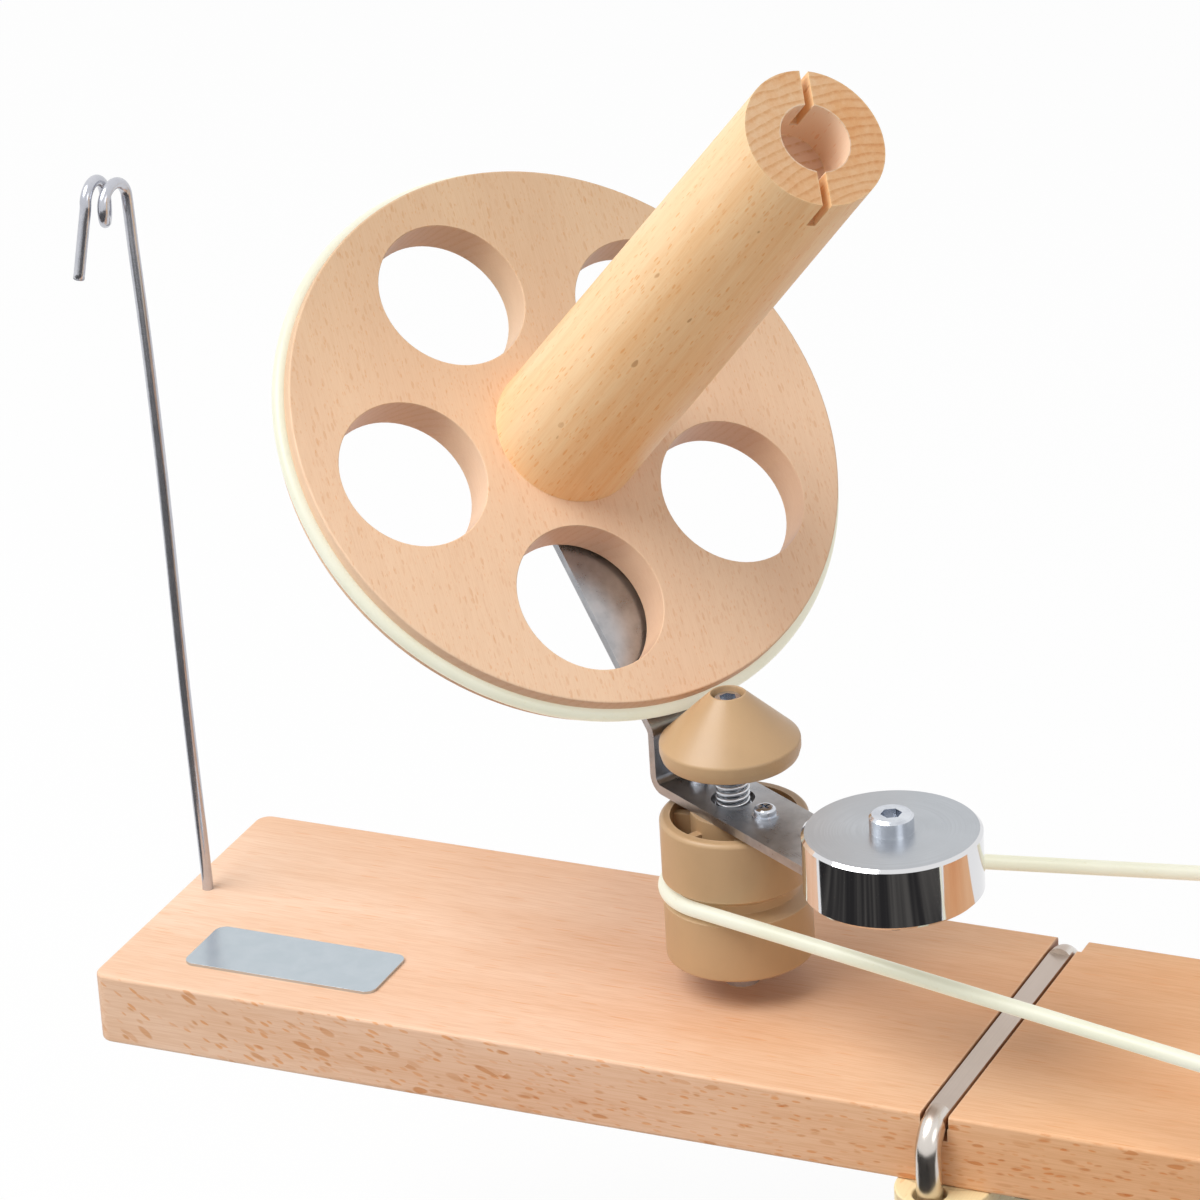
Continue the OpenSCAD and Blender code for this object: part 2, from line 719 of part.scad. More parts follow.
// Steel foot under the pulley; it carries the lower bearing
module pulley_foot() {
    color(chrome) at_rotor() washer(foot_r, axle_d / 2 + 0.1, pulley_lift + foot_in);
}
foot_in = 0.6;

// Fixed cone on which the disc's tyre rolls
module friction_cone() {
    slope = 90 - tilt;
    color(tan_plastic) at_rotor() difference() {
        rotate_extrude() polygon(concat(
            [[0, cone_z]], arc(cone_r - 2, cone_z + 1.6, 1.6, -90, -20, 4),
            [[cone_r, cone_z + 2.8]],
            arc(cone_r - cone_edge, cone_shoulder_z - cone_edge * tan(slope / 2), cone_edge, 0, 90 - slope, 5),
            arc(cone_top_r - 0.8, cone_top_z - 0.35, 0.6, 90 - slope, 90, 4), [[0, cone_top_z + 0.25]]
        ));
        translate([0, 0, cone_z - 1]) cylinder(r = axle_d / 2 + 0.1, h = cone_top_z - cone_z);
        translate([0, 0, cone_top_z - axle_head_sunk - axle_head_h])
            cylinder(d = cone_hole_d, h = axle_head_h + 5);
    }
}

// Helix of the spring, with a short straight end at each end
spring_seat_up = 0.1;
spring_low = arm_z + spring_seat_up + seat_ring_t;
spring_h = cone_z - spring_low;
spring_ring_r = spring_d / 2 - spring_wire / 2;
spring_pitch = (spring_h - 2 * spring_wire) / spring_curls;
spring_rings = 8;
spring_route = concat(
    [[spring_ring_r, 0, 0]],
    [for (i = [0 : spring_curls * spring_rings])
        let (a = 360 * i / spring_rings)
        [spring_ring_r * cos(a), spring_ring_r * sin(a), spring_wire + spring_pitch * i / spring_rings]],
    [[spring_ring_r, 0, spring_h]]
);
spring_gap = min([for (i = [1 : len(spring_route) - 1], j = [i + 5 : 1 : min(i + 11, len(spring_route) - 1)])
    norm(spring_route[i] - spring_route[j])]) - spring_wire;

// Spring that pushes the cone up
module cone_spring() {
    echo(least_gap_between_curls = spring_gap);
    color(chrome) at_rotor() translate([0, 0, spring_low]) tube(spring_route, spring_wire / 2, 6);
}

// Washer on the axle that the spring stands on
module spring_seat() {
    color(steel) at_rotor() translate([0, 0, arm_z + spring_seat_up])
        washer(spring_d / 2 + 0.2, axle_d / 2 + 0.1, seat_ring_t);
}

// Pulley with its belt groove, open cup, ribs, hub and two screw bosses
module rotor_pulley() {
    rim = 1.3;
    wall_in = pulley_r - cup_wall;
    boss_r = 3.1;
    floor_z = pulley_h - cup_depth;
    boss_top = pulley_h + rim_gap;
    groove_mouth = 3.4;
    groove_base = 1.2;
    color(tan_plastic) at_rotor() translate([0, 0, pulley_lift]) difference() {
        union() {
            rotate_extrude() difference() {
                polygon(concat(
                    [[0, 0]], arc(pulley_r - 0.8, 0.8, 0.8, -90, 0, 4),
                    arc(pulley_r - rim, pulley_h - rim, rim, 0, 90, 6),
                    [[wall_in, pulley_h], [wall_in, floor_z], [0, floor_z]]
                ));
                polygon([
                    [pulley_r - groove_depth, groove_up - groove_base],
                    [pulley_r + 0.5, groove_up - groove_mouth - 0.4],
                    [pulley_r + 0.5, groove_up + groove_mouth + 0.4],
                    [pulley_r - groove_depth, groove_up + groove_base]
                ]);
                translate([hub_r, -1]) square([wall_in - hub_r, skirt_depth + 1]);
            }
            cylinder(r = hub_r, h = boss_top);
            rotate([0, 0, arm_angle]) {
                for (i = [0 : rib_count - 1]) rotate([0, 0, 360 / rib_count * (i + 0.5)])
                    translate([hub_r - 1, -rib_t / 2, floor_z - 1])
                        cube([wall_in - hub_r + 1.5, rib_t, cup_depth + 1 - rib_drop]);
                for (s = [-1, 1]) translate([s * screw_at, 0, floor_z - 1]) cylinder(r = boss_r, h = boss_top - floor_z + 1, $fn = 48);
            }
        }
        bearing_bore(boss_top);
        rotate([0, 0, arm_angle]) for (s = [-1, 1])
            translate([s * screw_at, 0, boss_top - bracket_screw_l]) cylinder(r = bracket_screw_r, h = bracket_screw_l + 1, $fn = 48);
    }
}
bracket_screw_l = 10;
bracket_screw_r = 1.5;
bracket_head_r = 2.9;
bracket_head_h = 2.2;
screw_washer_t = 0.6;

// Bore of the hub, with a shoulder that keeps the two bearings apart
module bearing_bore(h) {
    low = foot_in + face_gap + rotor_bearing_w;
    high = h - rotor_bearing_w;
    translate([0, 0, -1]) cylinder(d = rotor_bearing_d, h = low + 1);
    translate([0, 0, low - 1]) cylinder(d = rotor_bearing_d - 3, h = high - low + 2);
    translate([0, 0, high]) cylinder(d = rotor_bearing_d, h = rotor_bearing_w + 1);
}

// Two ball bearings pressed into the pulley's hub; the upper one stops under the bracket
module rotor_bearings() {
    color(steel) at_rotor() for (z = [pulley_lift + foot_in + face_gap, arm_z - rotor_bearing_w])
        translate([0, 0, z]) rotor_bearing(z);
}

// One rotor bearing; its top face is turned down where the spring's seat passes
module rotor_bearing(z) {
    difference() {
        ball_bearing(rotor_bearing_d, axle_d / 2 + run_clear, rotor_bearing_w);
        if (z > pulley_lift + rotor_bearing_w)
            translate([0, 0, rotor_bearing_w - face_gap]) cylinder(r = spring_hole_d / 2, h = 2);
    }
}

// Side view of the strip: two folds between the arm and the leg behind the disc
leg_dir = [-cos(tilt), sin(tilt)];
leg_foot_x = disc_x + (leg_front - bracket_t / 2) * sin(tilt);
leg_foot_z = disc_z + (leg_front - bracket_t / 2) * cos(tilt);
heel_x = -heel_r + bracket_t / 2;
knee_z = leg_foot_z + (heel_x - leg_foot_x) * leg_dir[1] / leg_dir[0];
strip_line = [[weight_at, arm_z + bracket_t / 2], [heel_x, arm_z + bracket_t / 2], [heel_x, knee_z], [leg_foot_x, leg_foot_z]];

// One side of a bent strip: the line moved sideways, its corners as arcs
function left_of(v) = [-v[1], v[0]];
function strip_side(line, side, inner) = [for (i = [0 : len(line) - 1])
    each i == 0 ? [line[0] + side * left_of(unit(line[1] - line[0]))]
    : i == len(line) - 1 ? [line[i] + side * left_of(unit(line[i] - line[i - 1]))]
    : let (
        a = unit(line[i] - line[i - 1]), b = unit(line[i + 1] - line[i]),
        turn = atan2(a[0] * b[1] - a[1] * b[0], a * b), hand = turn < 0 ? -1 : 1,
        r = inner + bracket_t / 2, back = r * tan(abs(turn) / 2),
        c = line[i] - a * back + hand * left_of(a) * r, from = atan2(-hand * left_of(a)[1], -hand * left_of(a)[0])
    )
    [for (k = [0 : 6]) let (q = from + turn * k / 6) c + (r - hand * side) * [cos(q), sin(q)]]];

// Bent steel strip that carries the spindle behind the disc and the counterweight
module swing_bracket() {
    sides = bracket_t / 2;
    outline = concat(
        strip_side(strip_line, sides, bend_r),
        [for (i = [0 : 1 : len(strip_side(strip_line, -sides, bend_r)) - 1])
            let (q = strip_side(strip_line, -sides, bend_r)) q[len(q) - 1 - i]]
    );
    color(steel) difference() {
        union() {
            along_arm() rotate([90, 0, 0]) translate([0, 0, -bracket_w / 2]) linear_extrude(bracket_w) polygon(outline);
            along_arm() translate([weight_at, 0, arm_z]) cylinder(d = bracket_w, h = bracket_t);
            on_disc() translate([0, 0, leg_back]) cylinder(d = bracket_w, h = bracket_t);
        }
        along_arm() {
            translate([0, 0, arm_z - 1]) cylinder(d = spring_hole_d, h = bracket_t + 2);
            for (s = [-1, 1]) translate([s * screw_at, 0, arm_z - 1])
                cylinder(r = bracket_screw_r + bolt_clear, h = bracket_t + 2, $fn = 48);
            translate([weight_at, 0, arm_z - 1]) cylinder(r = weight_bolt_d / 2 + bolt_clear, h = bracket_t + 2);
        }
        on_disc() translate([0, 0, leg_back - 1]) cylinder(r = spindle_d / 2 + bolt_clear, h = bracket_t + 2);
    }
}

// Two pan-head screws with washers that hold the bracket on the pulley
module bracket_screws() {
    color(chrome) along_arm() for (s = [-1, 1]) translate([s * screw_at, 0, 0]) difference() {
        union() {
            translate([0, 0, arm_z - bracket_screw_l + 0.5])
                cylinder(r = bracket_screw_r - 0.05, h = bracket_screw_l + bracket_t, $fn = 48);
            translate([0, 0, arm_top]) cylinder(r = bracket_head_r + 0.5, h = screw_washer_t, $fn = 48);
            translate([0, 0, arm_top + screw_washer_t]) rotate_extrude($fn = 48) polygon(concat(
                [[0, 0], [bracket_head_r, 0]],
                arc(bracket_head_r - 1.2, bracket_head_h - 1.2, 1.2, 0, 90, 5), [[0, bracket_head_h]]
            ));
        }
        for (q = [0, 90]) translate([0, 0, arm_top + screw_washer_t + bracket_head_h]) rotate([0, 0, q])
            cube([3.2, 0.7, 2], center = true);
    }
}

// Turned steel weight that balances the disc and the mandrel
module counterweight() {
    color(chrome) along_arm() translate([weight_at, 0, weight_z]) rotate_extrude() polygon([
        [weight_bolt_d / 2 + bolt_clear, 0], [weight_r - weight_bevel, 0], [weight_r, weight_bevel],
        [weight_r, weight_t - weight_bevel], [weight_r - weight_bevel, weight_t],
        [weight_bolt_d / 2 + bolt_clear, weight_t]
    ]);
}

// Bolt through the counterweight and the arm
module weight_bolt() {
    end_z = arm_z - weight_nut_h - 2.5;
    top_z = weight_z + weight_t;
    color(chrome) along_arm() translate([weight_at, 0, 0]) union() {
        translate([0, 0, end_z]) cylinder(d = weight_bolt_d, h = top_z - end_z);
        translate([0, 0, top_z]) socket_head(weight_bolt_d / 2 + 2.6, weight_head_h, weight_bolt_d * 0.8, 0.7);
    }
}

// Nut of the counterweight's bolt
module weight_nut() {
    color(steel) along_arm() translate([weight_at, 0, arm_z - weight_nut_h]) difference() {
        hexagon(weight_bolt_d * 1.66, weight_nut_h);
        translate([0, 0, -1]) cylinder(r = weight_bolt_d / 2 + 0.05, h = weight_nut_h + 2);
    }
}

// Spindle of the disc, bolted through the bracket's leg
module spindle_bolt() {
    color(steel) on_disc() union() {
        translate([0, 0, leg_back]) cylinder(d = spindle_d, h = spindle_end - leg_back);
        translate([0, 0, leg_back - 4]) hexagon(spindle_d * 1.66, 4);
    }
}
low_bearing_z = -disc_t + face_gap;
high_bearing_z = 6;
spindle_nut_z = high_bearing_z + disc_bearing_w + face_gap;
spindle_nut_h = 6;
spindle_end = spindle_nut_z + spindle_nut_h + 1;
mandrel_bore_end = spindle_end + 5;

// Spacer between the bracket's leg and the disc's first bearing
module spindle_washer() {
    color(steel) on_disc() translate([0, 0, leg_front]) washer(spindle_d / 2 + 2, spindle_d / 2 + 0.1, leg_gap);
}

// Lock nut on the spindle, inside the mandrel's foot
module spindle_nut() {
    color(steel) on_disc() translate([0, 0, spindle_nut_z]) difference() {
        hexagon(spindle_d * 1.66, spindle_nut_h);
        translate([0, 0, -1]) cylinder(r = spindle_d / 2 + 0.05, h = spindle_nut_h + 2);
    }
}

// Wooden disc with its ring of holes and the tyre's groove
module winding_disc() {
    color(beech) on_disc() difference() {
        translate([0, 0, -disc_t]) grooved_disc(disc_r, disc_t, disc_edge, 0.05);
        translate([0, 0, -disc_t - 1]) cylinder(d = disc_bearing_d, h = disc_t + 2);
        for (i = [0 : hole_count - 1]) rotate([0, 0, hole_turn + 360 / hole_count * i])
            translate([hole_at, 0, -disc_t - 1]) cylinder(d = hole_d, h = disc_t + 2);
        mandrel_screw_places(-disc_t - 1, mandrel_screw_r + 0.1, disc_t + 2);
        mandrel_screw_places(-disc_t - 1, mandrel_screw_head_r + 0.1, mandrel_screw_head_h + 1.1);
    }
}
mandrel_screw_r = 1.75;
mandrel_screw_head_r = 3.4;
mandrel_screw_head_h = 2.2;
mandrel_screw_bite = 14;

// Cylinders at the screws that hold the mandrel, between its bore and its outside
module mandrel_screw_places(z, r, h) {
    at = (disc_bearing_d / 2 + mandrel_base_r) / 2;
    for (i = [0 : mandrel_screw_count - 1]) rotate([0, 0, 360 / mandrel_screw_count * i])
        translate([at, 0, z]) cylinder(r = r, h = h, $fn = 48);
}

// Elastic cord round the disc's rim
module disc_tyre() {
    color(cream) on_disc() translate([0, 0, -disc_t / 2])
        rotate_extrude() translate([tyre_ring_r, 0]) circle(r = cord_r, $fn = 48);
}

// Tapered mandrel that the ball is wound on
module winding_mandrel() {
    color(beech_dark) on_disc() difference() {
        cylinder(r1 = mandrel_base_r, r2 = mandrel_tip_r, h = mandrel_l);
        translate([0, 0, -1]) cylinder(d = disc_bearing_d, h = mandrel_bore_end + 1);
        translate([0, 0, mandrel_l - tip_bore_depth]) cylinder(d = tip_bore_d, h = tip_bore_depth + 1);
        rotate([0, 0, yarn_slot_turn])
            translate([-mandrel_base_r, -yarn_slot_w / 2, mandrel_l - yarn_slot_depth])
                cube([2 * mandrel_base_r, yarn_slot_w, yarn_slot_depth + 1]);
        mandrel_screw_places(-1, mandrel_screw_r, mandrel_screw_bite + 1);
    }
}

// Two ball bearings, one in the disc and one in the mandrel's foot
module disc_bearings() {
    color(steel) on_disc() for (z = [low_bearing_z, high_bearing_z])
        translate([0, 0, z]) ball_bearing(disc_bearing_d, spindle_d / 2 + run_clear, disc_bearing_w);
}

// Countersunk screws from the disc's back into the mandrel
module mandrel_screws() {
    color(steel) on_disc() union() {
        mandrel_screw_places(-disc_t, mandrel_screw_r, disc_t + mandrel_screw_bite);
        mandrel_screw_places(-disc_t, mandrel_screw_head_r, mandrel_screw_head_h);
    }
}

// Wooden wheel that the hand turns
module drive_wheel() {
    color(beech) at_wheel() translate([0, 0, belt_up - wheel_t / 2]) difference() {
        grooved_disc(wheel_r, wheel_t, disc_edge, 0.15);
        translate([0, 0, -1]) cylinder(d = wheel_bearing_d, h = wheel_t + 2);
        translate([handle_at, 0, -1]) cylinder(r = handle_insert_r, h = wheel_t + 2);
    }
}
handle_insert_wall = 2;
handle_insert_r = handle_bolt_d / 2 + handle_insert_wall;
handle_washer_out = 2;
handle_washer_t = 1.6;
wheel_low = belt_up - wheel_t / 2;
wheel_top = belt_up + wheel_t / 2;
hub_low = wheel_low - wheel_hub_h;

// Wooden hub glued under the wheel; it holds the lower bearing
module wheel_hub() {
    color(beech_dark) at_wheel() translate([0, 0, hub_low])
        washer(wheel_hub_r, wheel_bearing_d / 2, wheel_hub_h);
}

// Two ball bearings of the wheel
module wheel_bearings() {
    color(steel) at_wheel() for (z = [hub_low, wheel_top - wheel_bearing_w])
        translate([0, 0, z]) ball_bearing(wheel_bearing_d, wheel_axle_d / 2 + run_clear, wheel_bearing_w);
}

// Round-headed bolt from under the board, the wheel's axle
module wheel_axle() {
    axle_top = wheel_top + face_gap + washer_t + cap_nut_h - 2;
    color(steel) at_wheel() union() {
        translate([0, 0, -board_t + 1]) cylinder(r = wheel_bolt_head_r, h = wheel_bolt_head_h);
        translate([0, 0, -board_t + 2]) cylinder(d = wheel_axle_d, h = axle_top + board_t - 2);
    }
}
cap_nut_h = wheel_axle_d * 1.3;

// Steel tube between the board and the wheel's lower bearing
module wheel_foot() {
    color(chrome) at_wheel() washer(wheel_axle_d / 2 + 2.5, wheel_axle_d / 2 + 0.1, hub_low - face_gap);
}

// Domed nut and washer on top of the wheel's axle
module wheel_cap_nut() {
    flats = wheel_axle_d * 1.62;
    color(chrome) at_wheel() translate([0, 0, wheel_top + face_gap]) difference() {
        union() {
            cylinder(r = wheel_axle_d, h = washer_t);
            translate([0, 0, washer_t]) hexagon(flats, cap_nut_h * 0.6);
            translate([0, 0, washer_t + cap_nut_h * 0.6]) rotate_extrude() polygon(concat(
                [[0, 0]], [for (a = [0 : 15 : 75]) [flats * 0.46 * cos(a), cap_nut_h * 0.55 * sin(a)]],
                [[0, cap_nut_h * 0.55]]
            ));
        }
        translate([0, 0, -1]) cylinder(r = wheel_axle_d / 2 + 0.05, h = 1 + washer_t + cap_nut_h - 1.9);
    }
}

// Threaded insert of the handle in the wheel
module handle_insert() {
    color("#c9a44c") at_wheel() translate([handle_at, 0, wheel_low])
        washer(handle_insert_r, handle_bolt_d / 2, wheel_t);
}
grip_low = wheel_top + handle_washer_t + face_gap;
grip_recess = 5;
handle_head_out = 2.4;
handle_head_r = handle_bolt_d / 2 + handle_head_out;
handle_head_h = 3.4;
handle_head_bevel = 0.6;
handle_socket = 4;

// Bolt that the grip turns on, with the washer under the grip
module handle_bolt() {
    head_z = grip_low + grip_h - grip_recess + face_gap;
    color(chrome) at_wheel() translate([handle_at, 0, 0]) union() {
        translate([0, 0, wheel_low]) cylinder(d = handle_bolt_d, h = head_z - wheel_low);
        translate([0, 0, wheel_top]) cylinder(r = handle_insert_r + handle_washer_out, h = handle_washer_t);
        translate([0, 0, head_z]) socket_head(handle_head_r, handle_head_h, handle_socket, handle_head_bevel);
    }
}

// Turned wooden grip: a round foot, a slim neck and a full top
grip_sections = [[0, 0.72], [0.04, 0.78], [0.1, 0.74], [0.2, 0.66], [0.32, 0.68], [0.46, 0.8],
    [0.6, 0.93], [0.74, 1], [0.86, 0.97], [0.94, 0.87], [0.985, 0.7], [1, 0.6]];
module handle_grip() {
    color(beech_dark) at_wheel() translate([handle_at, 0, grip_low]) difference() {
        rotate_extrude() polygon(concat([[0, 0]], [for (s = grip_sections) [grip_r * s[1], grip_h * s[0]]], [[0, grip_h]]));
        translate([0, 0, -1]) cylinder(r = handle_bolt_d / 2 + run_clear, h = grip_h + 2);
        translate([0, 0, grip_h - grip_recess]) cylinder(r = handle_head_r + 0.6, h = grip_recess + 1);
    }
}

// Stations of the belt: middle of the arc, radius and direction outwards
belt_small_r = pulley_r - groove_depth + belt_gap + cord_r;
belt_big_r = wheel_r + cord_out;
axes_apart = sqrt(pow(axle_gap, 2) + pow(wheel_forward, 2));
belt_turn = -atan(wheel_forward / axle_gap);
belt_lean = asin((belt_big_r - belt_small_r) / axes_apart);
belt_small_steps = 24;
belt_big_steps = 50;
belt_stations = concat(
    [for (i = [0 : belt_small_steps])
        [0, belt_small_r, 90 + belt_lean + (180 - 2 * belt_lean) * i / belt_small_steps]],
    [for (i = [0 : belt_big_steps])
        [axes_apart, belt_big_r, -90 - belt_lean + (180 + 2 * belt_lean) * i / belt_big_steps]]
);

// Round elastic belt on its open route round the pulley and the wheel
module drive_belt() {
    sides = 16;
    n = len(belt_stations);
    points = [for (b = belt_stations, k = [0 : sides - 1])
        let (a = 360 * k / sides, reach = b[1] + cord_r * cos(a))
        [b[0] + reach * cos(b[2]), reach * sin(b[2]), cord_r * sin(a)]];
    faces = [for (i = [0 : n - 1], k = [0 : sides - 1], h = [0, 1])
        let (
            a = i * sides + k, b = i * sides + (k + 1) % sides,
            c = (i + 1) % n * sides + k, d = (i + 1) % n * sides + (k + 1) % sides
        )
        h == 0 ? [a, b, c] : [b, d, c]];
    color(cream) at_rotor() translate([0, 0, belt_up]) rotate([0, 0, belt_turn])
        polyhedron(points, faces, convexity = 10);
}

base_board();
table_pad();
name_plate();
yarn_guide();
clamp_rod();
clamp_block();
block_screws();
clamp_beam();
clamp_nuts();
beam_insert();
clamp_foot();
clamp_screw();
clamp_knob();
axle_bolt();
axle_nut();
pulley_foot();
friction_cone();
cone_spring();
spring_seat();
rotor_pulley();
rotor_bearings();
swing_bracket();
bracket_screws();
counterweight();
weight_bolt();
weight_nut();
spindle_bolt();
spindle_washer();
spindle_nut();
winding_disc();
disc_tyre();
winding_mandrel();
disc_bearings();
mandrel_screws();
drive_wheel();
wheel_hub();
wheel_bearings();
wheel_axle();
wheel_foot();
wheel_cap_nut();
handle_insert();
handle_bolt();
handle_grip();
drive_belt();
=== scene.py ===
# %% [markdown]
# # Yarn ball winder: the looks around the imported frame
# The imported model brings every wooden, steel and plastic piece in its real place and in
# metres. This lesson dresses it: a camera, a pale studio, one finish for each stuff the
# winder is made of, and a few pieces built again where a smooth wire, cord or thread shows.

# %% Load the frame
import math

import bmesh
import bpy
from mathutils import Matrix, Vector


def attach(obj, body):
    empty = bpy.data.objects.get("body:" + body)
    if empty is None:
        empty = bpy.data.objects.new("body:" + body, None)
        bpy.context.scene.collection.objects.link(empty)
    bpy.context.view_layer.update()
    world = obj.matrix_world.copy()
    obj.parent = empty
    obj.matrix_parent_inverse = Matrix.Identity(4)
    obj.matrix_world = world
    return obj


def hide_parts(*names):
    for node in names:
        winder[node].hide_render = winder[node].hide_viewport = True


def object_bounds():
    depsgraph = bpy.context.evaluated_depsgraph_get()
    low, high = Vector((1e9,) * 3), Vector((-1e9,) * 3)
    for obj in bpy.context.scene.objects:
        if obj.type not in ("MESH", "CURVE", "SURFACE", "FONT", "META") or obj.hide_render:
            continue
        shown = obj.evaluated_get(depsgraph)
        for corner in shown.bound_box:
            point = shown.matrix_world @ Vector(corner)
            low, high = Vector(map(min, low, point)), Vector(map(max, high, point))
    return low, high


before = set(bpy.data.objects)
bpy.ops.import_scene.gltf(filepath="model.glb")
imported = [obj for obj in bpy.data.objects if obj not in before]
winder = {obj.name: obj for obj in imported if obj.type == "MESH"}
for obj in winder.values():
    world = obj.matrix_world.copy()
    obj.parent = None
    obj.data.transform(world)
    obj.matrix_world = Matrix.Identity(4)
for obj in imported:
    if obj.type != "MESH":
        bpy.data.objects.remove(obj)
cad_low, cad_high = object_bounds()
scene = bpy.context.scene
print("nodes:", len(winder), "box:", [round(v, 4) for v in (*cad_low, *cad_high)])

# %% [markdown]
# ## Camera
# The photograph looks down on the winder from the front right, from far away with a long
# lens, so that parallel edges stay nearly parallel. A camera can be placed by eye. Here its
# place, its three directions and its lens were worked out together from the outlines of the
# board, rod, pulley, cone, weight, disc and mandrel, so that the render can be laid over the
# photograph.

# %% Camera
EYE = Vector((0.37735, -1.2798, 0.7722))
LOOK_RIGHT = (0.91048, 0.40969, -0.05657)
LOOK_UP = (-0.12301, 0.39886, 0.90872)
LOOK_BACK = (0.39486, -0.82041, 0.41354)
LENS_MM, SENSOR_MM = 183.69, 36
NEAREST_SEEN, FARTHEST_SEEN = 0.05, 60

camera_data = bpy.data.cameras.new("photo_camera")
camera_data.lens = LENS_MM
camera_data.sensor_width = SENSOR_MM
camera_data.clip_start, camera_data.clip_end = NEAREST_SEEN, FARTHEST_SEEN
camera = bpy.data.objects.new("photo_camera", camera_data)
turn = Matrix((LOOK_RIGHT, LOOK_UP, LOOK_BACK)).transposed().to_4x4()
camera.matrix_world = Matrix.Translation(EYE) @ turn
scene.collection.objects.link(camera)
scene.camera = camera
print("camera", [round(v, 3) for v in camera.location], "lens", LENS_MM)

# %% [markdown]
# ## Helpers for materials
# A material is a small graph of nodes. These helpers only save typing: one adds a node and
# fills its inputs, where a value can be a number, a colour or another node's output.

# %% Node helpers
def add(tree, kind, inputs=None, **settings):
    """Adds a node, sets its properties, and fills or links its inputs."""
    node = tree.nodes.new(kind)
    for key, value in settings.items():
        setattr(node, key, value)
    for key, value in (inputs or {}).items():
        plug(tree, node.inputs[key], value)
    return node


def plug(tree, socket, value):
    """Links an output to a socket, or writes a plain value into it."""
    if isinstance(value, bpy.types.NodeSocket):
        tree.links.new(value, socket)
    elif isinstance(value, tuple) and len(value) == 3 and socket.type == "RGBA":
        socket.default_value = (*value, 1)
    else:
        socket.default_value = value


def maths(tree, operation, *values, clamp=False):
    """One Math node; returns its output."""
    node = add(tree, "ShaderNodeMath", operation=operation, use_clamp=clamp)
    for socket, value in zip(node.inputs, values):
        plug(tree, socket, value)
    return node.outputs[0]


def times(tree, first, second):
    """One value times another, such as a mask times its strength."""
    return maths(tree, "MULTIPLY", first, second)


def ramp(tree, value, low, high, out_low=0.0, out_high=1.0):
    """Smooth step of a value between two limits."""
    return add(tree, "ShaderNodeMapRange", {
        "Value": value, "From Min": low, "From Max": high, "To Min": out_low, "To Max": out_high,
    }, interpolation_type="SMOOTHSTEP").outputs[0]


def blend_colours(tree, share, first, second, mode="MIX"):
    """Mixes two colours by a share, or multiplies the first by the second."""
    node = add(tree, "ShaderNodeMix", data_type="RGBA", blend_type=mode)
    for index, value in ((0, share), (6, first), (7, second)):
        plug(tree, node.inputs[index], value)
    return node.outputs[2]


def display(red, green, blue):
    """A screen colour (sRGB), 0 to 255, as the linear colour that a shader needs."""
    return tuple(
        c / 12.92 if c <= 0.04045 else ((c + 0.055) / 1.055) ** 2.4
        for c in (red / 255, green / 255, blue / 255)
    )


print("a mid grey is", [round(c, 3) for c in display(128, 128, 128)])

# %% [markdown]
# An effect that many finishes share is a node group: built once, with named inputs and
# outputs, and placed in each material with its own values. The same nodes could be built
# again in every material, but then each change would have to be made many times.

# %% Group builder
FLOAT, COLOUR, VECTOR = "NodeSocketFloat", "NodeSocketColor", "NodeSocketVector"


def new_group(name, inputs, outputs):
    """Starts a shader node group with named sockets; returns tree, group input, group output."""
    tree = bpy.data.node_groups.new(name, "ShaderNodeTree")
    for label, kind, value in inputs:
        socket = tree.interface.new_socket(label, in_out="INPUT", socket_type=kind)
        if value is not None:
            socket.default_value = value
    for label, kind in outputs:
        tree.interface.new_socket(label, in_out="OUTPUT", socket_type=kind)
    return tree, tree.nodes.new("NodeGroupInput").outputs, tree.nodes.new("NodeGroupOutput").inputs


print("sockets of kind", FLOAT, COLOUR, VECTOR)

# %% [markdown]
# Hands and cloths polish the edges of a piece first. A mask for that can be painted by hand.
# This group compares the surface's normal with a rounded one instead, so it finds the edges
# of any piece, and a noise breaks the line up, because wear is never even.

# %% Edge wear group
FACE_LIKENESS, EDGE_LIKENESS, LEAST_WEAR = 0.995, 0.86, 0.35
edge_wear, given, result = new_group(
    "edge wear", [("Width", FLOAT, 0.0006), ("Breakup", FLOAT, 900.0)], [("Mask", FLOAT)])
rounded = add(edge_wear, "ShaderNodeBevel", {"Radius": given["Width"]}, samples=4)
plain = add(edge_wear, "ShaderNodeNewGeometry")
likeness = add(edge_wear, "ShaderNodeVectorMath",
               {0: rounded.outputs[0], 1: plain.outputs["Normal"]}, operation="DOT_PRODUCT")
patches = add(edge_wear, "ShaderNodeTexNoise", {
    "Vector": add(edge_wear, "ShaderNodeTexCoord").outputs["Object"],
    "Scale": given["Breakup"], "Detail": 3.0})
sharpness = ramp(edge_wear, likeness.outputs["Value"], FACE_LIKENESS, EDGE_LIKENESS)
broken = ramp(edge_wear, patches.outputs[0], 0.3, 0.62, LEAST_WEAR, 1.0)
plug(edge_wear, result["Mask"], times(edge_wear, sharpness, broken))
print("group", edge_wear.name, "nodes", len(edge_wear.nodes))

# %% [markdown]
# Beech is pale and even. Its body colour changes slowly along the plank, with very faint
# lines of grain and hair-thin pores. A picture of a plank would not meet itself at the
# edges of a board. Noise in three dimensions, stretched along the grain, runs through the
# piece as real wood does. The group takes coordinates in metres whose X runs along the
# grain, and blends between a pale and a deep tone.

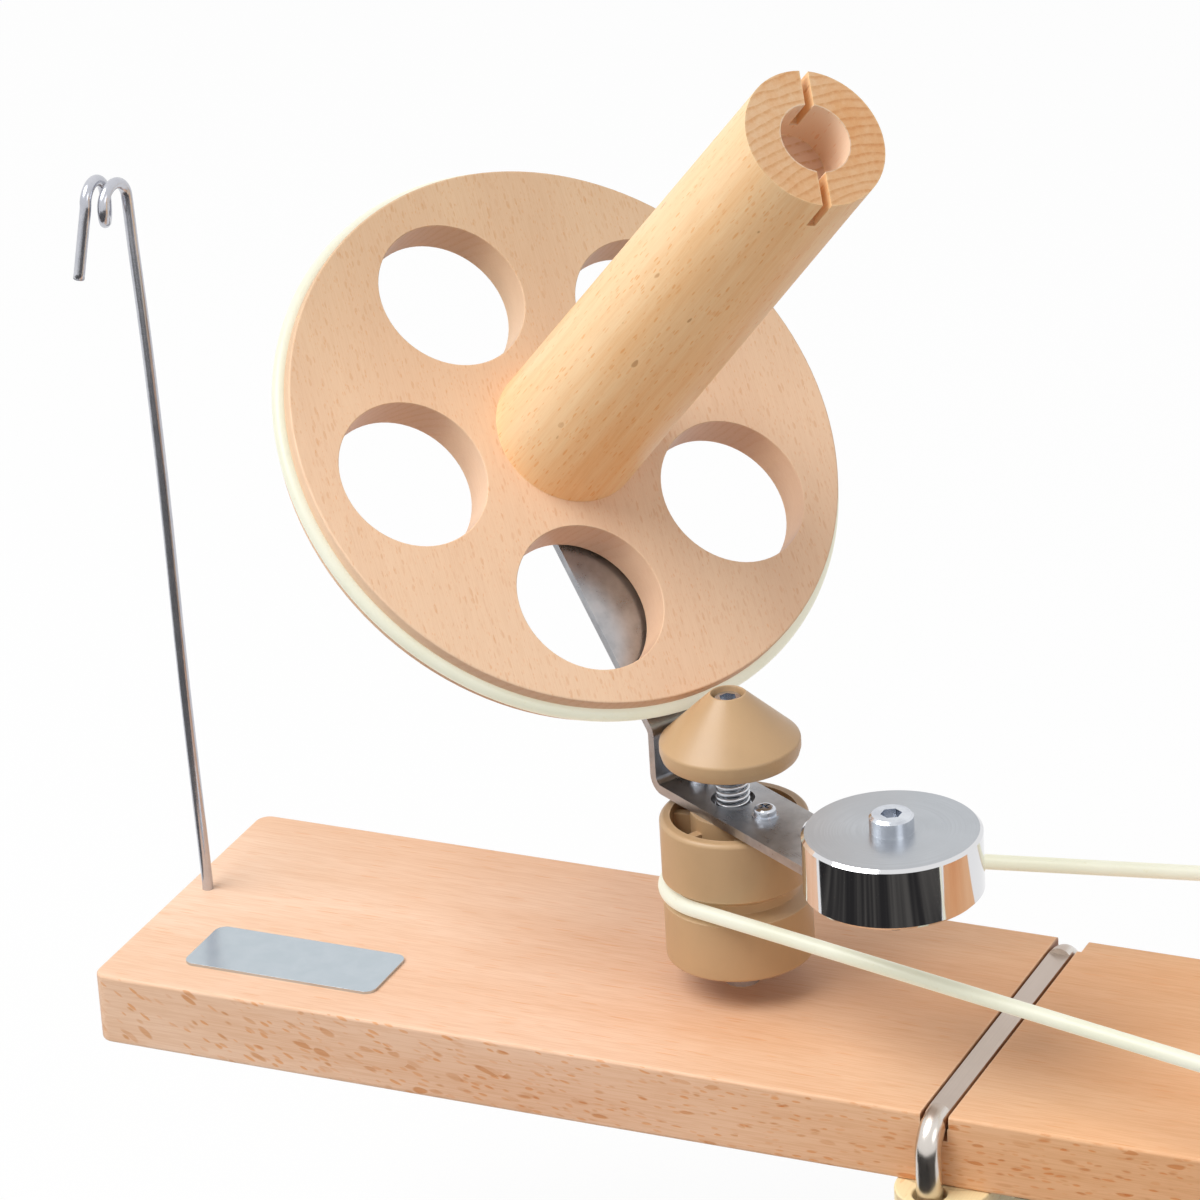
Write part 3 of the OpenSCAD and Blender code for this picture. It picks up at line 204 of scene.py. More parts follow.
# %% Beech tone group
PLANK_DRIFT = (0.16, 0.035, 0.035)
GRAIN_LINE = (0.06, 0.0022, 0.0022)
PORE_SIZE = (0.009, 0.00035, 0.00035)
PORE_SHADE = (0.78, 0.6, 0.4)
PLAIN_ROUGHNESS, LINE_ROUGHNESS = 0.44, 0.14
beech_tone, given, result = new_group(
    "beech tone",
    [("Along Grain", VECTOR, None), ("Pale", COLOUR, (0.8, 0.5, 0.3, 1)),
     ("Deep", COLOUR, (0.6, 0.3, 0.15, 1)), ("Streaks", FLOAT, 0.4), ("Pores", FLOAT, 0.1)],
    [("Colour", COLOUR), ("Roughness", FLOAT), ("Height", FLOAT)])


def stretched(tree, source, x, y, z, shift=(0, 0, 0)):
    """Scales coordinates so that a pattern gets its size along each direction, in metres."""
    return add(tree, "ShaderNodeMapping", {
        "Vector": source, "Scale": (1 / x, 1 / y, 1 / z), "Location": shift}).outputs[0]


def noise(tree, vector, detail=3.0, roughness=0.5, scale=1.0, output=0):
    """One Noise texture; output 0 is its value and 1 its colour."""
    return add(tree, "ShaderNodeTexNoise", {
        "Vector": vector, "Scale": scale, "Detail": detail, "Roughness": roughness}).outputs[output]


along = given["Along Grain"]
broad = noise(beech_tone, stretched(beech_tone, along, *PLANK_DRIFT))
lines = noise(beech_tone, stretched(beech_tone, along, *GRAIN_LINE, (3, 1, 2)), 4.0, 0.6)
fine = noise(beech_tone, stretched(beech_tone, along, *PORE_SIZE, (7, 2, 5)), 2.0)
uneven = maths(beech_tone, "ADD", ramp(beech_tone, broad, 0.3, 0.7), times(
    beech_tone, maths(beech_tone, "SUBTRACT", lines, 0.5), given["Streaks"]), clamp=True)
body = blend_colours(beech_tone, uneven, given["Deep"], given["Pale"])
pores = times(beech_tone, ramp(beech_tone, fine, 0.6, 0.36), given["Pores"])
plug(beech_tone, result["Colour"], blend_colours(
    beech_tone, pores, body, PORE_SHADE, "MULTIPLY"))
plug(beech_tone, result["Roughness"], maths(
    beech_tone, "ADD", PLAIN_ROUGHNESS, times(beech_tone, lines, LINE_ROUGHNESS)))
plug(beech_tone, result["Height"], maths(beech_tone, "SUBTRACT", times(
    beech_tone, lines, 0.3), times(beech_tone, fine, 0.3)))
print("group", beech_tone.name, "nodes", len(beech_tone.nodes))

# %% [markdown]
# What tells beech from other woods are its flecks: small brown lenses, all lying along the
# grain, large on the faces that cut the rays and hair-thin elsewhere. They are the cells of
# a stretched Voronoi pattern: a cell holds one mark of its own size and strength, and a
# share of the cells stays empty. Noise cut off at a level would give marks too, but they
# would run together.

# %% Flecks group
FLECK_BEND, MARK_EDGE = 0.9, (-0.03, 0.12)
SMALL_MARK, LARGE_MARK, FAINTEST_MARK = 0.2, 0.44, 0.35
flecks, given, result = new_group(
    "beech flecks",
    [("Along Grain", VECTOR, None), ("Cell Size", VECTOR, (0.008, 0.02, 0.003)),
     ("Share", FLOAT, 0.5), ("Seed", VECTOR, (0, 0, 0))],
    [("Mask", FLOAT)])
in_cells = add(flecks, "ShaderNodeVectorMath", {
    0: given["Along Grain"], 1: given["Cell Size"]}, operation="DIVIDE").outputs[0]
in_cells = add(flecks, "ShaderNodeVectorMath", {0: in_cells, 1: given["Seed"]}).outputs[0]
wobble = noise(flecks, in_cells, 1.0, scale=0.6, output=1)
wobble = add(flecks, "ShaderNodeVectorMath", {
    0: wobble, 1: (0.5, 0.5, 0.5)}, operation="SUBTRACT").outputs[0]
wobble = add(flecks, "ShaderNodeVectorMath", {
    0: wobble, "Scale": FLECK_BEND}, operation="SCALE").outputs[0]
marks = add(flecks, "ShaderNodeTexVoronoi", {
    "Vector": add(flecks, "ShaderNodeVectorMath", {0: in_cells, 1: wobble}).outputs[0],
    "Scale": 1.0, "Randomness": 1.0})
chance = add(flecks, "ShaderNodeSeparateColor", {0: marks.outputs["Color"]}).outputs
radius = ramp(flecks, chance[1], 0.0, 1.0, SMALL_MARK, LARGE_MARK)
inside = ramp(flecks, maths(flecks, "SUBTRACT", radius, marks.outputs["Distance"]), *MARK_EDGE)
strength = times(flecks, maths(flecks, "LESS_THAN", chance[0], given["Share"]), ramp(
    flecks, chance[2], 0.0, 1.0, FAINTEST_MARK, 1.0))
plug(flecks, result["Mask"], times(flecks, inside, strength))
print("group", flecks.name, "nodes", len(flecks.nodes))

# %% [markdown]
# Where the saw crosses the grain, the growth rings show as thin darker lines, a few
# millimetres apart. The boards were cut far from the middle of the tree, so the rings run
# nearly straight. Blender's Wave texture can draw rings as well. Measuring the distance from
# the tree's middle leaves the shape of each line free: it darkens slowly through the year
# and ends sharply, as late wood does. A noise makes the lines a little wavy.

# %% Growth rings group
RING_WANDER, WANDER_SIZE = 0.0022, (0.03, 0.009, 0.009)
RING_PATCH = (0.004, 0.0011, 0.0011)
LINE_STARTS, LINE_FULL, LINE_FADES, LINE_ENDS = 0.45, 0.86, 0.91, 0.99
growth_rings, given, result = new_group(
    "growth rings",
    [("Along Grain", VECTOR, None), ("Tree Middle", VECTOR, (0, 0.02, -0.08)),
     ("Spacing", FLOAT, 0.0024)],
    [("Mask", FLOAT)])
sideways = add(growth_rings, "ShaderNodeVectorMath", {
    0: given["Along Grain"], 1: given["Tree Middle"]}, operation="SUBTRACT").outputs[0]
flat = add(growth_rings, "ShaderNodeVectorMath", {
    0: sideways, 1: (0, 1, 1)}, operation="MULTIPLY").outputs[0]
away = add(growth_rings, "ShaderNodeVectorMath", {0: flat}, operation="LENGTH").outputs["Value"]
wander = noise(growth_rings, stretched(
    growth_rings, given["Along Grain"], *WANDER_SIZE, (2, 6, 1)), 2.0)
away = maths(growth_rings, "ADD", away, times(growth_rings, wander, RING_WANDER))
year = maths(growth_rings, "FRACT", maths(growth_rings, "DIVIDE", away, given["Spacing"]))
late_wood = times(growth_rings, ramp(growth_rings, year, LINE_STARTS, LINE_FULL), ramp(
    growth_rings, year, LINE_ENDS, LINE_FADES))
patchy = ramp(growth_rings, noise(growth_rings, stretched(
    growth_rings, given["Along Grain"], *RING_PATCH)), 0.3, 0.6, 0.35, 1.0)
plug(growth_rings, result["Mask"], times(growth_rings, late_wood, patchy))
print("group", growth_rings.name, "nodes", len(growth_rings.nodes))

# %% [markdown]
# Steel pieces share one group for handling marks: fine scratches in one direction and
# cloudy patches of slightly different shine. The marks are too fine to model, so noise
# changes the shine and the relief instead.

# %% Metal marks group
GRIT_SCALE = 2600.0
metal_marks, given, result = new_group(
    "metal marks",
    [("Coordinates", VECTOR, None), ("Scratch Size", VECTOR, (0.03, 0.00025, 0.00025)),
     ("Cloud Size", FLOAT, 0.006)],
    [("Scratches", FLOAT), ("Clouds", FLOAT), ("Grit", FLOAT)])
here = given["Coordinates"]
drawn = add(metal_marks, "ShaderNodeVectorMath", {
    0: here, 1: given["Scratch Size"]}, operation="DIVIDE")
plug(metal_marks, result["Scratches"], noise(metal_marks, drawn.outputs[0]))
plug(metal_marks, result["Clouds"], noise(
    metal_marks, here, 4.0, 0.6, maths(metal_marks, "DIVIDE", 1.0, given["Cloud Size"])))
plug(metal_marks, result["Grit"], noise(metal_marks, here, 1.0, scale=GRIT_SCALE))
print("group", metal_marks.name, "nodes", len(metal_marks.nodes))

# %% [markdown]
# ## The finishes
# Each finish starts the same way: a Principled shader, coordinates taken from the piece
# itself so that the pattern moves with it, and a Bump node for the fine relief. The
# coordinates can be turned into a frame of their own, because the disc and the mandrel
# stand tilted and their grain runs along their own directions.

# %% Start of a finish
def start_finish(name):
    """Makes a material with one Principled shader; returns material, tree and shader."""
    material = bpy.data.materials.new(name)
    material.use_nodes = True
    tree = material.node_tree
    return material, tree, tree.nodes["Principled BSDF"]


def use_group(tree, group, inputs):
    """Places a node group in a material, fills its inputs and returns its outputs."""
    node = tree.nodes.new("ShaderNodeGroup")
    node.node_tree = group
    for key, value in inputs.items():
        plug(tree, node.inputs[key], value)
    return node.outputs


def own_coordinates(tree, origin=(0, 0, 0), x_axis=(1, 0, 0), z_axis=(0, 0, 1)):
    """Object coordinates and normal in a frame with this origin and these two directions."""
    source = add(tree, "ShaderNodeTexCoord")
    x, z = Vector(x_axis).normalized(), Vector(z_axis).normalized()
    y = z.cross(x).normalized()
    turned = Matrix((x, y, z)).transposed().to_euler()
    place = add(tree, "ShaderNodeMapping", {
        "Vector": source.outputs["Object"], "Location": tuple(origin), "Rotation": tuple(turned)},
        vector_type="TEXTURE")
    way = add(tree, "ShaderNodeMapping", {
        "Vector": source.outputs["Normal"], "Rotation": tuple(turned)}, vector_type="TEXTURE")
    return place.outputs[0], way.outputs[0]


def split(tree, vector):
    """The three parts of a vector."""
    return add(tree, "ShaderNodeSeparateXYZ", {0: vector}).outputs


def square_to(tree, part):
    """1 where the surface faces along this part of its normal, and 0 where it faces across."""
    return ramp(tree, maths(tree, "ABSOLUTE", part), 0.5, 0.85)


def bump(tree, shader, height, distance):
    """Feeds a height to the shader's normal; distance is the relief's depth in metres."""
    node = add(tree, "ShaderNodeBump", {"Height": height, "Distance": distance})
    tree.links.new(node.outputs[0], shader.inputs["Normal"])


print("made helpers:", ", ".join(helper.__name__ for helper in (
    start_finish, use_group, own_coordinates, split, square_to, bump)))

# %% [markdown]
# Every wooden piece gets the same recipe with its own numbers: the body tone, one or more
# layers of flecks, each for the faces where it belongs, the rings on the end faces, and
# slightly paler edges where hands have polished them. One function makes them all instead of
# a graph for each piece, so the woods stay alike.

# %% Beech finish
BROWN_LENS = (0.80, 0.56, 0.34)
ORANGE_LENS = (0.90, 0.58, 0.28)
RING_SHADE = (0.84, 0.66, 0.47)
END_SHADE, END_SHARE = (0.77, 0.70, 0.70), 0.9
POLISHED_LIFT, POLISHED_SHARE = 1.25, 0.3
FLECK_DEPTH, WOOD_RELIEF = 0.3, 0.0001


def beech_finish(name, pale, deep, layers, origin=(0, 0, 0), grain=(1, 0, 0), up=(0, 0, 1),
                 streaks=0.4, pores=0.12, tree_middle=(0, 0.02, -0.08), ring_strength=0.8,
                 tint=None, shear=None):
    """A beech finish; a layer is (cell size in mm, share, lens colour, strength, face or None)."""
    material, tree, shader = start_finish(name)
    place, way = own_coordinates(tree, origin, grain, up)
    facing = split(tree, way)
    end_face = square_to(tree, facing[0])
    boards = use_group(tree, beech_tone, {
        "Along Grain": place, "Pale": pale, "Deep": deep, "Streaks": streaks, "Pores": pores})
    colour = boards["Colour"]
    if tint:
        colour = tint(tree, place, facing, colour)
    marked = shear(tree, place) if shear else place
    side_grain = maths(tree, "SUBTRACT", 1.0, end_face)
    dark = 0.0
    for number, (cell, share, lens, strength, face) in enumerate(layers):
        mask = use_group(tree, flecks, {
            "Along Grain": marked, "Cell Size": tuple(side / 1000 for side in cell),
            "Share": share, "Seed": (number * 3.7, number * 1.3, number * 5.1)})["Mask"]
        mask = times(tree, mask, side_grain)
        if face is not None:
            mask = times(tree, mask, square_to(tree, facing[face]))
        mask = times(tree, mask, strength)
        colour = blend_colours(tree, mask, colour, lens, "MULTIPLY")
        dark = maths(tree, "MAXIMUM", dark, mask)
    rings = use_group(tree, growth_rings, {
        "Along Grain": place, "Tree Middle": tree_middle})["Mask"]
    rings = times(tree, times(tree, rings, end_face), ring_strength)
    colour = blend_colours(tree, rings, colour, RING_SHADE, "MULTIPLY")
    end_share = times(tree, end_face, END_SHARE)
    colour = blend_colours(tree, end_share, colour, END_SHADE, "MULTIPLY")
    worn = use_group(tree, edge_wear, {"Width": 0.0009, "Breakup": 500.0})["Mask"]
    polished = tuple(min(1, c * POLISHED_LIFT) for c in pale)
    colour = blend_colours(tree, times(tree, worn, POLISHED_SHARE), colour, polished)
    plug(tree, shader.inputs["Base Color"], colour)
    plug(tree, shader.inputs["Roughness"], maths(tree, "ADD", boards["Roughness"], times(
        tree, dark, 0.08)))
    bump(tree, shader, maths(tree, "SUBTRACT", boards["Height"], times(
        tree, dark, FLECK_DEPTH)), WOOD_RELIEF)
    shader.inputs["Specular IOR Level"].default_value = 0.35
    shader.inputs["Coat Weight"].default_value = 0.1
    shader.inputs["Coat Roughness"].default_value = 0.32
    print("finish", name, "with", len(layers), "layers of flecks")
    return material


# %% [markdown]
# The board's colour runs from a pale pink at the left to a warm tan at the right. On its
# front side the flecks are large: at the left end they slant, and towards the right they
# straighten out and get thinner. Painted shade darkens the walls of the groove that holds
# the clamp rod to brown.
# The tones could be materials of their own on parts of the board; a colour ramp along its
# length needs no seams between them, and a shear of the coordinates slants the flecks.

# %% Board finish
BOARD_LEFT, BOARD_RIGHT, BOARD_TOP, BOARD_SIDE = -0.37, 0.13, 0.0225, 0.0495
TURNED_STRAIGHT, SLANT, THINNING = -0.18, 0.5, 0.8
ROD_X, GROOVE_LEFT, GROOVE_RIGHT = -0.13195, 0.0038, 0.0052
# The last colour is painted shade for the walls of the rod's groove.
GROOVE_SKIN, GROOVE_FADE, GROOVE_PAINTED_SHADE = 0.0002, 0.0012, (0.42, 0.27, 0.16)
BOARD_TONES = [
    (BOARD_LEFT, (1, 1, 1)), (-0.23, (0.96, 0.86, 0.79)), (-0.10, (0.94, 0.76, 0.555)),
    (BOARD_RIGHT, (0.93, 0.78, 0.62))]


def colour_run(tree, value, low, high, stops):
    """Colours along a value: each stop is a place between low and high, and a colour."""
    share = add(tree, "ShaderNodeMapRange", {
        "Value": value, "From Min": low, "From Max": high}).outputs[0]
    node = add(tree, "ShaderNodeValToRGB", {0: share})
    bar = node.color_ramp.elements
    while len(bar) < len(stops):
        bar.new(0.5)
    for element, (at, colour) in zip(bar, sorted(stops)):
        element.position = (at - low) / (high - low)
        element.color = (*colour, 1)
    return node.outputs[0]


def board_tone_and_groove_shade(tree, place, facing, colour):
    """The board's change of colour along its length, and painted shade that darkens the walls of
    its groove.
    """
    x, y, z = split(tree, place)
    colour = blend_colours(
        tree, 1.0, colour, colour_run(tree, x, BOARD_LEFT, BOARD_RIGHT, BOARD_TONES), "MULTIPLY")
    in_groove = times(tree, maths(tree, "GREATER_THAN", x, ROD_X - GROOVE_LEFT), maths(
        tree, "LESS_THAN", x, ROD_X + GROOVE_RIGHT))
    below = times(tree, ramp(tree, z, BOARD_TOP - GROOVE_SKIN, BOARD_TOP - GROOVE_FADE), maths(
        tree, "LESS_THAN", maths(tree, "ABSOLUTE", y), BOARD_SIDE - GROOVE_SKIN))
    # Painted shade: the groove's walls below the top are darkened to brown.
    return blend_colours(tree, times(tree, in_groove, below), colour, GROOVE_PAINTED_SHADE, "MULTIPLY")


def board_shear(tree, place):
    """Leans the flecks at the board's left end; towards the right they are straight and thin."""
    x, y, z = split(tree, place)
    t = add(tree, "ShaderNodeMapRange", {
        "Value": x, "From Min": BOARD_LEFT, "From Max": TURNED_STRAIGHT}).outputs[0]
    lean = maths(tree, "SUBTRACT", t, times(tree, times(tree, t, t), 0.5))
    lean = times(tree, lean, SLANT * (TURNED_STRAIGHT - BOARD_LEFT))
    thinner = times(tree, z, maths(tree, "ADD", 1.0, times(tree, t, THINNING)))
    return add(tree, "ShaderNodeCombineXYZ", {
        0: x, 1: y, 2: maths(tree, "ADD", thinner, lean)}).outputs[0]


ACROSS, UPWARD = 1, 2
BOARD_FLECKS = [
    ((6.5, 26, 3.2), 0.75, BROWN_LENS, 0.9, ACROSS),
    ((4.2, 18, 1.9), 0.6, ORANGE_LENS, 0.75, ACROSS),
    ((9, 0.8, 30), 0.45, ORANGE_LENS, 0.35, UPWARD)]
board_beech = beech_finish(
    "board_beech", display(250, 217, 191), display(239, 197, 164), BOARD_FLECKS,
    streaks=1.1, pores=0.25, tint=board_tone_and_groove_shade, shear=board_shear)

# %% [markdown]
# The disc and the drive wheel are paler and pinker than the board, with a crowd of short
# fine flecks that stand nearly upright in the photograph. The mandrel was turned from a
# warmer, yellower stick with small ticks along it. Both stand tilted, so their coordinates
# are turned into a frame of their own, with one direction out along the mandrel. Grain along
# the world's directions would cut through them at a slant.

# %% Disc and mandrel finishes
DISC_MIDDLE = Vector((-0.26182, 0.0354887, 0.15626))
DISC_OUT = Vector((0.61539, -0.365392, 0.698415))
flat_in_disc = Vector((0, 0, 1)).cross(DISC_OUT).normalized()
up_in_disc = DISC_OUT.cross(flat_in_disc)
GRAIN_TURN = math.radians(12)
disc_grain = up_in_disc * math.cos(GRAIN_TURN) + flat_in_disc * math.sin(GRAIN_TURN)
SMALL_KNOT = (0.52, 0.34, 0.2)
FINE_DASHES = [
    ((3.2, 11, 0.9), 0.8, BROWN_LENS, 0.36, ACROSS),
    ((1.9, 7, 0.7), 0.7, ORANGE_LENS, 0.36, ACROSS)]
FLAT_DASHES = [
    ((3.2, 0.9, 11), 0.8, BROWN_LENS, 0.36, UPWARD),
    ((1.9, 0.7, 7), 0.7, ORANGE_LENS, 0.36, UPWARD)]
TICKS = [
    ((3.8, 0.62, 0.62), 0.5, ORANGE_LENS, 0.6, None),
    ((4.5, 1.4, 1.4), 0.01, SMALL_KNOT, 0.7, None)]
# Painted shade: the disc's colour darkens towards its upper edge.
UPPER_FROM, UPPER_TO, UPPER_PAINTED_SHADE = -0.02, 0.075, (0.80, 0.80, 0.75)
# Painted light: the bore in the mandrel's tip is paled, though it lies in shade.
BORE_START, BORE_R, BORE_PAINTED_LIGHT_SHARE = 0.1447, 0.0093, 0.75
# Painted shade on the side of the stick that faces away from the main lamp.
SHADED_SIDE_REACH, SIDE_PAINTED_SHADE = 0.012, (0.98, 0.92, 0.85)
STICK_MIDDLE = (0, 0, -0.065)


def distance(tree, first, second):
    """How far a point lies from an axis, from its two parts across that axis."""
    return maths(tree, "SQRT", maths(tree, "ADD", times(tree, first, first), times(
        tree, second, second)))


def disc_painted_shade(tree, place, facing, colour):
    """Painted shade: the disc's colour is made a little darker towards its upper edge."""
    x, _, _ = split(tree, place)
    return blend_colours(tree, ramp(tree, x, UPPER_FROM, UPPER_TO), colour, UPPER_PAINTED_SHADE, "MULTIPLY")


def mandrel_painted_shade_and_light(tree, place, facing, colour):
    """Painted shade darkens one side of the stick, and painted light makes the bore in its tip
    paler.
    """
    x, y, z = split(tree, place)
    far = distance(tree, y, z)
    in_bore = times(tree, maths(tree, "GREATER_THAN", x, BORE_START), maths(
        tree, "LESS_THAN", far, BORE_R))
    sideways = maths(tree, "SUBTRACT", times(tree, y, 0.4), z)
    # Painted shade: the stick's colour is darkened on one side.
    shaded_side_mask = ramp(tree, sideways, -SHADED_SIDE_REACH, SHADED_SIDE_REACH)
    colour = blend_colours(tree, shaded_side_mask, colour, SIDE_PAINTED_SHADE, "MULTIPLY")
    # Painted light inside the bore: its colour is blended towards a pale tone.
    bore_light_share = times(tree, in_bore, BORE_PAINTED_LIGHT_SHARE)
    return blend_colours(tree, bore_light_share, colour, display(250, 224, 200))


disc_beech = beech_finish(
    "disc_beech", display(246, 210, 177), display(239, 200, 167), FINE_DASHES, origin=DISC_MIDDLE,
    grain=disc_grain, up=disc_grain.cross(DISC_OUT), streaks=0.8, ring_strength=0.3, tint=disc_painted_shade)
wheel_beech = beech_finish(
    "wheel_beech", display(248, 212, 180), display(242, 202, 168), FLAT_DASHES, streaks=0.8,
    ring_strength=0.3)
mandrel_beech = beech_finish(
    "mandrel_beech", display(255, 220, 174), display(248, 196, 138), TICKS, origin=DISC_MIDDLE,
    grain=DISC_OUT, up=up_in_disc, streaks=1.9, tree_middle=STICK_MIDDLE, tint=mandrel_painted_shade_and_light)

# %% [markdown]
# The clamp's block is a lighter, yellower offcut, and its beam under the table is plain
# beech. The crank's grip has the mandrel's ticks. They are the same kind of wood, so the same
# recipe serves with other numbers; the beam and the grip are out of the photograph, and
# their tones are chosen to go with the rest.

# %% Clamp and grip wood
OFFCUT_MIDDLE, GRIP_AXIS = (0, -0.09, -0.15), (0.14075, -0.0046, 0)
BLOCK_FLECKS = [((7, 1.2, 1.2), 0.3, ORANGE_LENS, 0.4, None)]
BEAM_FLECKS = [
    ((7.5, 30, 3.2), 0.5, BROWN_LENS, 0.7, ACROSS), ((8, 1.2, 1.2), 0.3, ORANGE_LENS, 0.4, None)]
block_beech = beech_finish(
    "block_beech", display(246, 230, 186), display(238, 216, 164), BLOCK_FLECKS,
    grain=(0, 1, 0), up=(1, 0, 0), tree_middle=OFFCUT_MIDDLE)
beam_beech = beech_finish(
    "beam_beech", display(246, 206, 166), display(236, 190, 146), BEAM_FLECKS,
    grain=(0, 1, 0), up=(0, 0, 1), tree_middle=OFFCUT_MIDDLE)
grip_beech = beech_finish(
    "grip_beech", display(250, 208, 158), display(242, 192, 138), TICKS, origin=GRIP_AXIS,
    grain=(0, 0, 1), up=(0, 1, 0), streaks=1.0, tree_middle=STICK_MIDDLE)

# %% [markdown]
# The pulley and the cone are moulded in a tan plastic: satin, a little uneven in tone, with
# the faint orange-peel of a mould and paler edges where they are handled. The clamp's knob is
# a black one. One even colour on a perfect surface would look unreal, so a slow noise
# changes the tone and a fine one gives the peel.

# %% Moulded plastics
MOTTLE_SHADE, PEEL_SCALE, PEEL_RELIEF = 0.934, 1400.0, 0.00003


def moulded_finish(name, body, worn_colour, roughness):
    """A moulded plastic: soft tone changes, fine peel, paler worn edges."""
    material, tree, shader = start_finish(name)
    place, _ = own_coordinates(tree)
    tone = ramp(tree, noise(tree, place, 4.0, scale=70.0), 0.3, 0.7)
    worn = use_group(tree, edge_wear, {"Width": 0.0008, "Breakup": 700.0})["Mask"]
    darker = tuple(c * MOTTLE_SHADE for c in body)
    colour = blend_colours(tree, tone, darker, body)
    colour = blend_colours(tree, times(tree, worn, 0.6), colour, worn_colour)
    plug(tree, shader.inputs["Base Color"], colour)
    plug(tree, shader.inputs["Roughness"], maths(tree, "ADD", roughness - 0.04, times(
        tree, tone, 0.08)))
    bump(tree, shader, noise(tree, place, 2.0, scale=PEEL_SCALE), PEEL_RELIEF)
    print("finish", name)
    return material


tan_moulding = moulded_finish("tan_moulding", display(199, 164, 123), display(222, 194, 157), 0.38)
black_moulding = moulded_finish("black_moulding", display(38, 38, 41), display(74, 74, 78), 0.42)

# %% [markdown]
# The belt and the tyre are a pale, slightly see-through elastic cord, drawn through a die:
# it is even in colour, with a few tiny specks and a soft shine. A little light of its own
# stands for the light that shines through it, which keeps its shaded side pale.

# %% Elastic cord
CORD_BODY, CORD_GLOW = (0.6, 0.6, 0.6), 0.5
elastic_cord, tree, shader = start_finish("elastic_cord")
place, _ = own_coordinates(tree)
drift = ramp(tree, noise(tree, place, scale=28.0), 0.3, 0.7)
speck = noise(tree, place, scale=900.0)
tint = blend_colours(tree, drift, display(226, 225, 202), display(232, 231, 213))
tint = blend_colours(tree, times(tree, ramp(tree, speck, 0.64, 0.74), 0.25),
                     tint, display(214, 206, 170))
plug(tree, shader.inputs["Base Color"], blend_colours(tree, 1.0, tint, CORD_BODY, "MULTIPLY"))
plug(tree, shader.inputs["Roughness"], maths(tree, "ADD", 0.32, times(tree, drift, 0.08)))
shader.inputs["Subsurface Weight"].default_value = 0.25
shader.inputs["Subsurface Radius"].default_value = (0.002, 0.002, 0.0014)
shader.inputs["Subsurface Scale"].default_value = 1.0
plug(tree, shader.inputs["Emission Color"], tint)
plug(tree, shader.inputs["Emission Strength"], CORD_GLOW)
bump(tree, shader, speck, 0.00002)
print("finish", elastic_cord.name)

# %% [markdown]
# Rubber under the board and on the clamp's foot is dark and dull, with a fine pebbled skin.
# Pebbles this small are too many to model, so the cells of a Voronoi pattern only tilt the
# light on the surface, and dust makes some patches greyer.

# %% Black rubber
PEBBLE_SCALE, PEBBLE_RELIEF = 1300.0, 0.00012
black_rubber, tree, shader = start_finish("black_rubber_skin")
place, _ = own_coordinates(tree)
pebble = add(tree, "ShaderNodeTexVoronoi", {"Vector": place, "Scale": PEBBLE_SCALE})
dust = noise(tree, place, 5.0, scale=160.0)
plug(tree, shader.inputs["Base Color"], blend_colours(
    tree, ramp(tree, dust, 0.5, 0.75), display(34, 34, 36), display(66, 64, 62)))
plug(tree, shader.inputs["Roughness"], ramp(tree, dust, 0.4, 0.7, 0.62, 0.8))
bump(tree, shader, pebble.outputs["Distance"], PEBBLE_RELIEF)
print("finish", black_rubber.name)

# %% [markdown]
# Metals differ in colour, in how rough they are, and in their marks. One function makes
# them all: galvanised strip with drawn scratches, bright wire, blue-grey zinc, ground steel
# and brass. A lower Metallic keeps some plain colour in pieces that would otherwise only
# mirror the white room.

# %% Metal finishes
BRIGHT_LIFT = 1.2


def metal_finish(name, colour, dark_colour, roughness, scratch=0.06, clouds=0.05,
                 relief=0.00001, cloud_size=0.006, edge=0.5, along=(1, 0, 0), metallic=1.0):
    """A metal with drawn scratches along one direction, cloudy shine and brighter edges."""
    material, tree, shader = start_finish(name)
    place, _ = own_coordinates(tree, x_axis=along)
    marks = use_group(tree, metal_marks, {"Coordinates": place, "Cloud Size": cloud_size})
    worn = use_group(tree, edge_wear, {"Width": 0.0005, "Breakup": 800.0})["Mask"]
    tone = blend_colours(tree, ramp(tree, marks["Clouds"], 0.3, 0.7), dark_colour, colour)
    bright = tuple(min(1, c * BRIGHT_LIFT) for c in colour)
    tone = blend_colours(tree, times(tree, worn, edge), tone, bright)
    shine = maths(tree, "ADD", roughness - scratch - clouds, times(
        tree, marks["Scratches"], scratch * 2))
    shine = maths(tree, "ADD", shine, times(tree, marks["Clouds"], clouds * 2), clamp=True)
    plug(tree, shader.inputs["Base Color"], tone)
    plug(tree, shader.inputs["Roughness"], shine)
    shader.inputs["Metallic"].default_value = metallic
    bump(tree, shader, maths(tree, "ADD", marks["Scratches"], times(
        tree, marks["Grit"], 0.3)), relief)
    print("finish", name)
    return material


ARM_ANGLE = math.radians(-30.7)
galvanised = metal_finish(
    "galvanised_strip", display(186, 187, 190), display(158, 159, 163), 0.3, 0.05, 0.08,
    relief=0.000012, cloud_size=0.008, along=(math.cos(ARM_ANGLE), math.sin(ARM_ANGLE), 0))
guide_chrome = metal_finish(
    "guide_chrome", display(202, 203, 210), display(190, 192, 200), 0.2, 0.03, 0.03, metallic=0.85)
bright_zinc = metal_finish(
    "bright_zinc", display(220, 224, 230), display(196, 200, 208), 0.19, 0.04, 0.06)
spring_steel = metal_finish(
    "spring_wire_steel", display(226, 229, 233), display(204, 208, 214), 0.3)
ground_steel = metal_finish(
    "ground_steel", display(222, 219, 216), display(196, 194, 192), 0.24, metallic=0.6)
insert_brass = metal_finish("insert_brass", display(224, 190, 110), display(196, 158, 84), 0.26)
plate_steel = metal_finish(
    "plate_polish", display(194, 203, 210), display(189, 199, 206), 0.22, 0.02, 0.02,
    relief=0.000001, edge=0.3)

